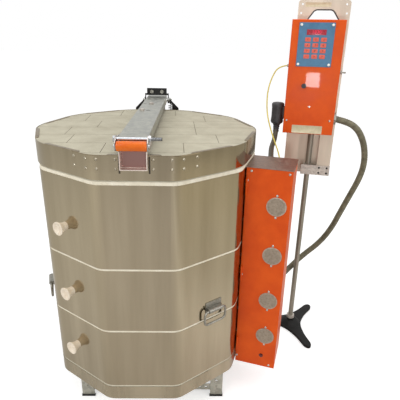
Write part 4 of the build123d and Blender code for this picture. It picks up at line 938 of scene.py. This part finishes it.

# %% [markdown]
# ## Painted shade round the hand hole
# The control head's plate has a hand hole to carry it by, and the sheet's cut edge lies in
# shade. A thin black tube carries that painted shade. It follows the hole's slanting sides and
# flat top. A bevelled edge of the plate would not stand out from it, so the shade is a tube of
# its own, and its two bends are arcs that touch both straight parts.

# %% Painted shade round the hand hole
hole_middle, hole_half, hole_low, hole_high = -6.0, 57.0, 1402.0, 1436.0
shade_level, shade_step, shade_half, bend_steps = -0.016, 0.002, 0.0026, 6
slant_share, bend_share = 0.7, 0.6
slant, turn_radius = slant_share * (hole_high - hole_low), bend_share * (hole_high - hole_low)
lean = atan2(hole_high - hole_low, slant)
reach = turn_radius * tan(lean / 2)
shade_points = []
for side in (-1, 1):
    shoulder = Vector((hole_middle + side * (hole_half - slant), hole_high))
    hub = Vector((shoulder.x - side * reach, hole_high - turn_radius))
    leans = [lean * share / bend_steps for share in range(bend_steps + 1)]
    bend = [hub + turn_radius * Vector((side * sin(angle), cos(angle))) for angle in leans]
    bend.append(Vector((hole_middle + side * hole_half, hole_low)))
    shade_points += bend[::-1] if side < 0 else bend
shade_line = even_points([Vector((p.x * MM, shade_level, p.y * MM)) for p in shade_points], shade_step)
# A thin black tube: painted shade on the hole's cut edge.
edge_shade = tube_along("hand_hole_painted_shade", shade_line, shade_half, sides=10)
settle(edge_shade, head_place)
complete(edge_shade, "kiln", "black_plastic")

# %% [markdown]
# ## Woven vent screens
# The element box breathes through four round screens. A screen is a pressed rim with woven
# wire behind it, held by two small screws. Wires woven over and under one another would
# need many thousands of faces. The weave is a flat grid instead, trimmed to a circle and
# given a body by the wireframe modifier, which looks the same from a step away.

# %% Model one screen and copy it
box_back, screen_out, side_face = 370.5, 110.0, -58.0
rim_radius, rim_high, weave_level, weave_size, weave_radius = 0.0335, 0.0024, 0.0020, 0.060, 0.0285
weave_cells, weave_wire = 26, 0.0007
sideways = Matrix.Rotation(radians(-90), 4, "Y")
rim = begin("cylinder", "screen_rims", vertices=48, radius=rim_radius, depth=rim_high,
            location=(0, 0, rim_high / 2))
inset(rim, looks(Z, 1), (0.0012, 0.0003), (0.0030, 0), (0.0006, -0.0012))
weave = begin("grid", "screen_weave", x_subdivisions=weave_cells, y_subdivisions=weave_cells,
              size=weave_size, location=(0, 0, weave_level))
cut_away(weave, lambda face: face.calc_center_median().to_2d().length > weave_radius)
give_body(weave, "WIREFRAME", thickness=weave_wire, use_even_offset=False)


def on_box_side(out, z):
    """A place on the box's narrow side, in millimetres out from the box's back and up."""
    return box_place @ moved(side_face, -(box_back + out), z) @ sideways


screen_levels = (815, 631, 447, 291)
screen_places = [on_box_side(screen_out, z) for z in screen_levels]
rims = copies(rim, screen_places)
complete(rims, "element_cover", "vent_mesh", stands_for="vent_discs")
weaves = copies(weave, screen_places)
complete(weaves, "element_cover", "vent_mesh")

# %% [markdown]
# ## Small screws of the element box
# Pan-head screws hold the cover and the screens. Half a sphere would stand too tall, so one
# head is turned from a short cylinder: its rim is bevelled to a low dome and its drive is
# inset and pushed in. It is then copied to every screw's place.

# %% One screw head, many places
def turned_head(name, vertices, radius, height, rim, segments):
    """A short cylinder on the origin with a rounded upper rim."""
    head = begin("cylinder", name, vertices=vertices, radius=radius, depth=height,
                 location=(0, 0, height / 2))
    bevel(head, rim_over(height - HAIR), rim, segments)
    return head


screw = turned_head("box_screws", vertices=20, radius=0.0042, height=0.0024, rim=0.0014, segments=3)
inset(screw, looks(Z, 1), (0.0012, 0), (0.0003, -0.0007))
# Millimetres out from the box's back, and up.
screw_spots = [(20, 931), (144, 931), (8, 897), (8, 540), (8, 175), (134, 158)]
screen_screw = 39
for z in screen_levels:
    screw_spots += [(screen_out, z + screen_screw), (screen_out, z - screen_screw)]
screws = copies(screw, [on_box_side(out, z) for out, z in screw_spots])
complete(screws, "element_cover", "zinc")

# %% [markdown]
# ## The power plug
# The head takes its mains through a round black plug on its left side. Its profile could be
# drawn and spun round the axis, but a cylinder gets there sooner: its rims are rounded and a
# waist round its flank is sunk for the fingers. Each end of the cable has a ribbed boot, a
# cone cut into rings, some of them drawn in, so it can bend.

# %% Turn the plug and its boots
plug_middle, plug_low, plug_high = (-145.0, -57.0), 1008.0, 1094.0
plug_radius, plug_crown, plug_foot, plug_waist, arm_round = 0.025, 0.009, 0.012, (0.014, -0.0015), 0.005
plug = begin("cylinder", "power_plug", vertices=40, radius=plug_radius, depth=(plug_high - plug_low) * MM,
             location=(plug_middle[0] * MM, plug_middle[1] * MM, (plug_low + plug_high) / 2 * MM))
bevel(plug, rim_over(plug_high * MM - HAIR), plug_crown, 6)
bevel(plug, lambda edge: middle_of(edge).z < plug_low * MM + HAIR and abs(direction_of(edge).z) < ACROSS,
      plug_foot, 4)
inset(plug, lambda face: abs(face.normal.z) < ACROSS and len(face.verts) == 4, plug_waist)
arm = begin_block("plug_arm", (-145, -69, 1030), (-118, -45, 1080))
bevel(arm, runs(X), arm_round, 4)
settle(joined(plug, arm), head_place)
complete(plug, "kiln", "black_plastic", stands_for="power_connector")


def boot(name, line, width, wide, length):
    """A ribbed, tapered sleeve on the start of a line, over a cable of that width."""
    heading = (line[1] - line[0]).normalized()
    cuts, grooves, narrowed, clearance = 8, (2, 4, 6), 0.84, 0.0012
    sleeve = begin("cone", name, vertices=28, radius1=wide / 2, radius2=width / 2 + clearance,
                   depth=length, location=(0, 0, length / 2))
    pick(sleeve, "EDGE", lambda edge: abs(direction_of(edge).z) > 0.5)
    bpy.ops.mesh.subdivide(number_cuts=cuts)
    leave()
    for groove in grooves:
        level = length * groove / (cuts + 1)
        pick(sleeve, "EDGE", lambda edge: abs(middle_of(edge).z - level) < HAIR)
        bpy.ops.transform.resize(value=(narrowed, narrowed, 1))
        leave()
    settle(sleeve, Matrix.Translation(line[0]) @ heading.to_track_quat("Z", "Y").to_matrix().to_4x4())
    complete(sleeve, "kiln", "black_plastic")


power_line = [Vector([v * MM for v in place]) for place in power_route]
boot("plug_boot", power_line[:2], power_d, wide=0.030, length=0.034)
boot("box_boot", power_line[::-1][:2], power_d, wide=0.026, length=0.026)

# %% [markdown]
# ## Bolts of the clamp and studs of the keypad
# Four socket screws sit in the clamp plate's holes, black as painted shade for the dark of
# the holes, and four bright domes hold the keypad's film. Both are turned heads of other
# sizes, so the screws' helper makes them, and the bolts get a deep socket.

# %% Clamp bolts and film studs
bolt_front, stud_front = 17.1, film_front + 0.05
bolt_across, bolt_up, stud_across, stud_up = (46, 78), (802, 824), (-83, 29), (1244, 1382)
bolt = turned_head("clamp_bolts_painted_shade", vertices=24, radius=0.0042, height=0.0048, rim=0.0006, segments=2)
inset(bolt, looks(Z, 1), (0.0014, 0), (0.0003, -0.0025))
bolts = copies(bolt, [on_head(x, bolt_front, z) for x in bolt_across for z in bolt_up])
# Black heads: painted shade for the dark holes of the clamp plate.
complete(bolts, "kiln", "black_paint")
stud = turned_head("film_studs", vertices=24, radius=0.0050, height=0.0034, rim=0.0026, segments=5)
studs = copies(stud, [on_head(x, stud_front, z) for x in stud_across for z in stud_up])
complete(studs, "kiln", "bright_zinc")

# %% [markdown]
# ## Thread and painted shade at the lid's front
# The cross bolt of the grip ends in a dark thread past its nut. Down each side of the bracket,
# where its legs go behind the band's strap, a thin dark strip carries painted shade for the
# narrow gap there. A cut thread would need a helix and a boolean. At this size a tube whose
# radius rises and falls as it winds shows the same.

# %% Thread and painted shade strips
bolt_y, bolt_z, thread_start, thread_end, thread_step = -0.396, 1.083, 0.0505, 0.0795, 0.0005
thread_radius, thread_sides, thread_pitch, thread_height = 0.0047, 16, 0.002, 0.0004
thread_line = even_points([Vector((x, bolt_y, bolt_z)) for x in (thread_start, thread_end)], thread_step)
thread = tube_along("rod_thread", thread_line, thread_radius, thread_sides, thread_pitch, thread_height)
complete(thread, "lid", "dark_wire")
gap_shades_apart = 0.0830
# Thin dark strips beside the bracket: painted shade of the narrow gap there.
gap_shade_strip = begin_block("bracket_gap_shades", (39.2, -375.5, 980), (43.8, -374.6, 1029))
inset(gap_shade_strip, looks(Y, -1), (0.0009, 0), (0.0002, -0.0005))
gap_shade_strips = copies(gap_shade_strip, [Matrix.Translation((x, 0, 0)) for x in (0, -gap_shades_apart)])
complete(gap_shade_strips, "lid", "gap_painted_shade")

# %% [markdown]
# ## The stand's cast foot
# The foot of the control stand is one iron casting: three arms that widen to a raised hub,
# with hollow curves between them. Pulled out of a cylinder, these would have to be bent
# point by point. Its plan is drawn as one closed spline instead, filled and given a
# thickness, and the hub is a cone with a rounded upper rim.

# %% Draw the foot's plan and raise its hub
arm_angles, arm_root, arm_narrow, arm_reach, arm_tip, web_reach = (-74, 46, 166), 95, 150, 172, 189, 46
root_half, arm_half, tip_half = 19, 16, 7
foot_half, foot_rim = 0.0045, 0.0028
arm_side = ((arm_root, root_half), (arm_narrow, arm_half), (arm_reach, arm_half), (arm_tip, tip_half))
plan = []
for angle in arm_angles:
    heading, web = radians(angle), radians(angle + 60)
    out = Vector((cos(heading), sin(heading)))
    over = Vector((-sin(heading), cos(heading)))
    plan += [out * far - over * aside for far, aside in arm_side]
    plan += [out * far + over * aside for far, aside in arm_side[::-1]]
    plan.append(Vector((cos(web), sin(web))) * web_reach)
foot = smooth_line("cast_foot", [place.to_3d() for place in plan], closed=True, resolution=5)
foot.data.fill_mode = "BOTH"
foot.data.extrude = foot_half
foot.data.bevel_depth = foot_rim
foot.data.bevel_resolution = 3
only(foot)
bpy.ops.object.convert(target="MESH")
foot = bpy.context.active_object
foot.name = "cast_foot"
foot.location = (0, 0, foot_half + foot_rim)
settle(foot)
hub_low, hub_high, hub_root, hub_top, hub_rim = 0.014, 0.034, 0.050, 0.026, 0.004
hub = begin("cone", "foot_hub", vertices=48, radius1=hub_root, radius2=hub_top, depth=hub_high - hub_low,
            location=(0, 0, (hub_low + hub_high) / 2))
bevel(hub, rim_over(hub_high - HAIR), hub_rim, 4)
settle(joined(foot, hub), moved(*head_origin, 0))
complete(foot, "kiln", "cast_iron", stands_for="pole_base")

# %% [markdown]
# ## Wound heating coils
# Each element is a long resistance wire wound into a close coil and laid in its groove. The
# screw modifier winds only a straight coil, and this one turns ten corners. So the coil's line
# winds round the path that runs from the element box once round the chamber. It is skinned
# with a few sides only, because there are hundreds of turns.

# %% Wind the elements
groove_line, coil_radius, coil_wire, coil_pitch, steps_per_turn = 0.303, 0.0049, 0.0011, 0.0074, 8
tail_half, tail_out = 0.030, 0.4145
rings = ((0.6692, 0.2858), (0.4406, 0.2286), (0.212, 0.2286))
groove_shares, coil_sag = (0.27, 0.72), 0.0017
coil_levels = [round(low + share * height - coil_sag, 4) for low, height in rings for share in groove_shares]
box_angle = radians(box_turn)
box_along = Vector((cos(box_angle), sin(box_angle), 0))
box_outward = Vector((sin(box_angle), -cos(box_angle), 0))
ring_path = [box_outward * groove_line + box_along * tail_half]
for index in range(10):
    angle = box_angle + half_step * (2 * index + 1)
    reach = groove_line / cos(half_step)
    ring_path.append(Vector((reach * sin(angle), -reach * cos(angle), 0)))
ring_path.append(box_outward * groove_line - box_along * tail_half)
centre_line = even_points(ring_path, coil_pitch / steps_per_turn)
coil_line = [box_outward * tail_out + box_along * tail_half]
for index, place in enumerate(centre_line):
    before, after = centre_line[max(index - 1, 0)], centre_line[min(index + 1, len(centre_line) - 1)]
    tangent = (after - before).normalized()
    inward = Vector((tangent.y, -tangent.x, 0))
    angle = 2 * pi * index / steps_per_turn
    coil_line.append(place + (inward * cos(angle) + Vector((0, 0, sin(angle)))) * coil_radius)
coil_line.append(box_outward * tail_out - box_along * tail_half)
coil = tube_along("heating_coils", coil_line, coil_wire, sides=4)
coils = copies(coil, [Matrix.Translation((0, 0, level)) for level in coil_levels])
complete(coils, "kiln", "element_wire", stands_for="heating_elements")

# %% [markdown]
# ## Lift springs
# Two long springs behind the lid take its weight. A spring is one wire: a hook over the
# lower rod, a stretch up to the coil, the close winding, and a hook over the lid bar's
# pin. The screw modifier could wind the coil, but not with the hooks in the same wire, so the
# wire's line is worked out point by point and then skinned.

# %% Wind the two springs
spring_radius, spring_wire_half, spring_gap, spring_turns = 0.0070, 0.0016, 0.009, 20.5
hook_radius, hook_slack, rod_level, pin_level, spring_y = 0.0073, 0.0006, 0.830, 1.068, 0.435
wind_low, turn_steps, lead_up, lead_aside, spring_step = 0.862, 20, 0.012, 0.8 * hook_radius, 0.0018
wind_high = wind_low + spring_turns * spring_gap
hook_degrees, spring_aside = range(0, 200, 20), 0.056
lower_hook = [radians(180 - degrees) for degrees in hook_degrees]
upper_hook = [radians(degrees) for degrees in hook_degrees]
rod_line, pin_line = rod_level + hook_slack, pin_level - hook_slack
spring_line = [Vector((0, -hook_radius * cos(turn), rod_line - hook_radius * sin(turn)))
               for turn in lower_hook]
spring_line.append(Vector((0, -lead_aside, wind_low - lead_up)))
for step in range(round((wind_high - wind_low) / spring_gap * turn_steps) + 1):
    angle = -pi / 2 + 2 * pi * step / turn_steps
    height = wind_low + step * spring_gap / turn_steps
    spring_line.append(Vector((spring_radius * cos(angle), spring_radius * sin(angle), height)))
top_side = 1 if spring_line[-1].y > 0 else -1
spring_line.append(Vector((0, top_side * lead_aside, wind_high + lead_up)))
spring_line += [Vector((0, top_side * hook_radius * cos(turn), pin_line + hook_radius * sin(turn)))
                for turn in upper_hook]
spring = tube_along("lift_springs", even_points(spring_line, spring_step), spring_wire_half, sides=8)
springs = copies(spring, [Matrix.Translation((x, spring_y, 0)) for x in (-spring_aside, spring_aside)])
complete(springs, "kiln", "dark_wire", stands_for="hinge_springs", smooth=60)
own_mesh(springs)

# %% [markdown]
# ## The studio floor
# Polished steel shows only what stands round it, and in front of an even white it looks like
# grey plastic. So the wide pale floor, which catches the shadow and glows a little to the eye,
# is seen by mirrors in upright bands of slightly different tone.

# %% Lay the floor
# Place across the floor, and the tone that mirrors see there.
floor_tones = ((-2.0, (0.90, 0.87, 0.80)), (-0.9, (0.86, 0.83, 0.78)), (0.0, (0.75, 0.72, 0.69)),
               (0.7, (1.0, 0.97, 0.92)), (1.3, (0.78, 0.74, 0.65)), (2.4, (0.72, 0.67, 0.54)))
floor_size, tones_reach, floor_glow = 60, 3.0, 0.55
floor_colour, white = (0.8, 0.8, 0.8, 1), (1, 1, 1, 1)
floor = begin("plane", "studio_floor", size=floor_size, location=(0, 0, 0))
floor_material = bpy.data.materials.new("studio_floor")
floor_material.use_nodes = True
floor_tree = floor_material.node_tree
floor_shader = floor_tree.nodes["Principled BSDF"]
set_inputs(floor_shader, Base_Color=floor_colour, Roughness=0.9, Emission_Color=white)
seen = add_node(floor_tree, "LightPath")
glow = add_node(floor_tree, "Math", operation="MULTIPLY")
glow.inputs[1].default_value = floor_glow
place = add_node(floor_tree, "TexCoord")
apart = add_node(floor_tree, "SeparateXYZ")
across = add_node(floor_tree, "MapRange", From_Min=-tones_reach, From_Max=tones_reach)
mirrored = add_node(floor_tree, "ValToRGB")
stops = mirrored.color_ramp
while len(stops.elements) < len(floor_tones):
    stops.elements.new(0.5)
for stop, (at, tone) in zip(stops.elements, floor_tones):
    stop.position = at / (2 * tones_reach) + 0.5
    stop.color = (*tone, 1)
shown, plain, banded, floor_tone = colour_mix(floor_tree)
plain.default_value = floor_colour
wire(floor_tree, (seen, "Is Camera Ray", glow, 0), (glow, "Value", floor_shader, "Emission Strength"),
     (place, "Object", apart, "Vector"), (apart, "X", across, "Value"),
     (across, "Result", mirrored, "Fac"), (seen, "Is Glossy Ray", shown, "Factor"))
floor_tree.links.new(mirrored.outputs["Color"], banded)
floor_tree.links.new(floor_tone, floor_shader.inputs["Base Color"])
floor.data.materials.append(floor_material)
print("floor laid with", len(floor_tones), "tones")

# %% [markdown]
# ## The world
# The surroundings are plain white to the eye, in mirrors and through a lens. As a light they
# would wash out every shadow, so for all other rays they are little more than half as bright.

# %% Set the world
world = bpy.data.worlds.new("studio")
bpy.context.scene.world = world
world.use_nodes = True
sky = world.node_tree
backdrop = sky.nodes["Background"]
set_inputs(backdrop, Color=white)
seen = add_node(sky, "LightPath")
either = add_node(sky, "Math", operation="MAXIMUM")
clear = add_node(sky, "Math", operation="MAXIMUM")
level = add_node(sky, "MapRange", To_Min=0.55, To_Max=1.0)
wire(sky, (seen, "Is Camera Ray", either, 0), (seen, "Is Glossy Ray", either, 1),
     (either, "Value", clear, 0), (seen, "Is Transmission Ray", clear, 1),
     (clear, "Value", level, "Value"), (level, "Result", backdrop, "Strength"))
print("world is", world.name)

# %% [markdown]
# ## The lamps
# A sun lamp would draw hard shadows, and the kiln's are soft, so the lamps are broad squares:
# the brightest high at the left, one overhead, and a weak one at the right that opens the
# shadows. The case's front also shows one bright spot, which needs a small lamp of its own.

# %% Hang the lamps
def soft_lamp(name, place, target, size, power):
    """A square lamp at a place, aimed at a target."""
    data = bpy.data.lights.new(name, "AREA")
    data.size = size
    data.energy = power
    lamp = new_object(name, data)
    lamp.location = place
    lamp.rotation_mode = "QUATERNION"
    lamp.rotation_quaternion = (Vector(target) - Vector(place)).to_track_quat("-Z", "Y")
    return lamp


soft_lamp("window", (-2.2, -2.6, 3.2), target=(0.1, 0, 0.6), size=2.2, power=55)
soft_lamp("ceiling", (0.6, -0.4, 3.6), target=(0.2, 0, 0.5), size=2.6, power=34)
# A small lamp stands where the case's front mirrors it to the camera, as a bright spot.
case_spot = head_place @ Vector((-0.022, -0.093, 1.188))
case_normal = Vector((sin(radians(head_turn)), -cos(radians(head_turn)), 0))
sight = (case_spot - camera_place).normalized()
glance = sight - 2 * sight.dot(case_normal) * case_normal
flash_away = 1.6
flash = soft_lamp("flash", case_spot + glance * flash_away, target=case_spot, size=0.10, power=2.6)
flash.visible_diffuse = False
soft_lamp("fill", (3.0, -1.8, 1.8), target=(0.3, 0, 0.7), size=2.0, power=22)
print("lamps hung")
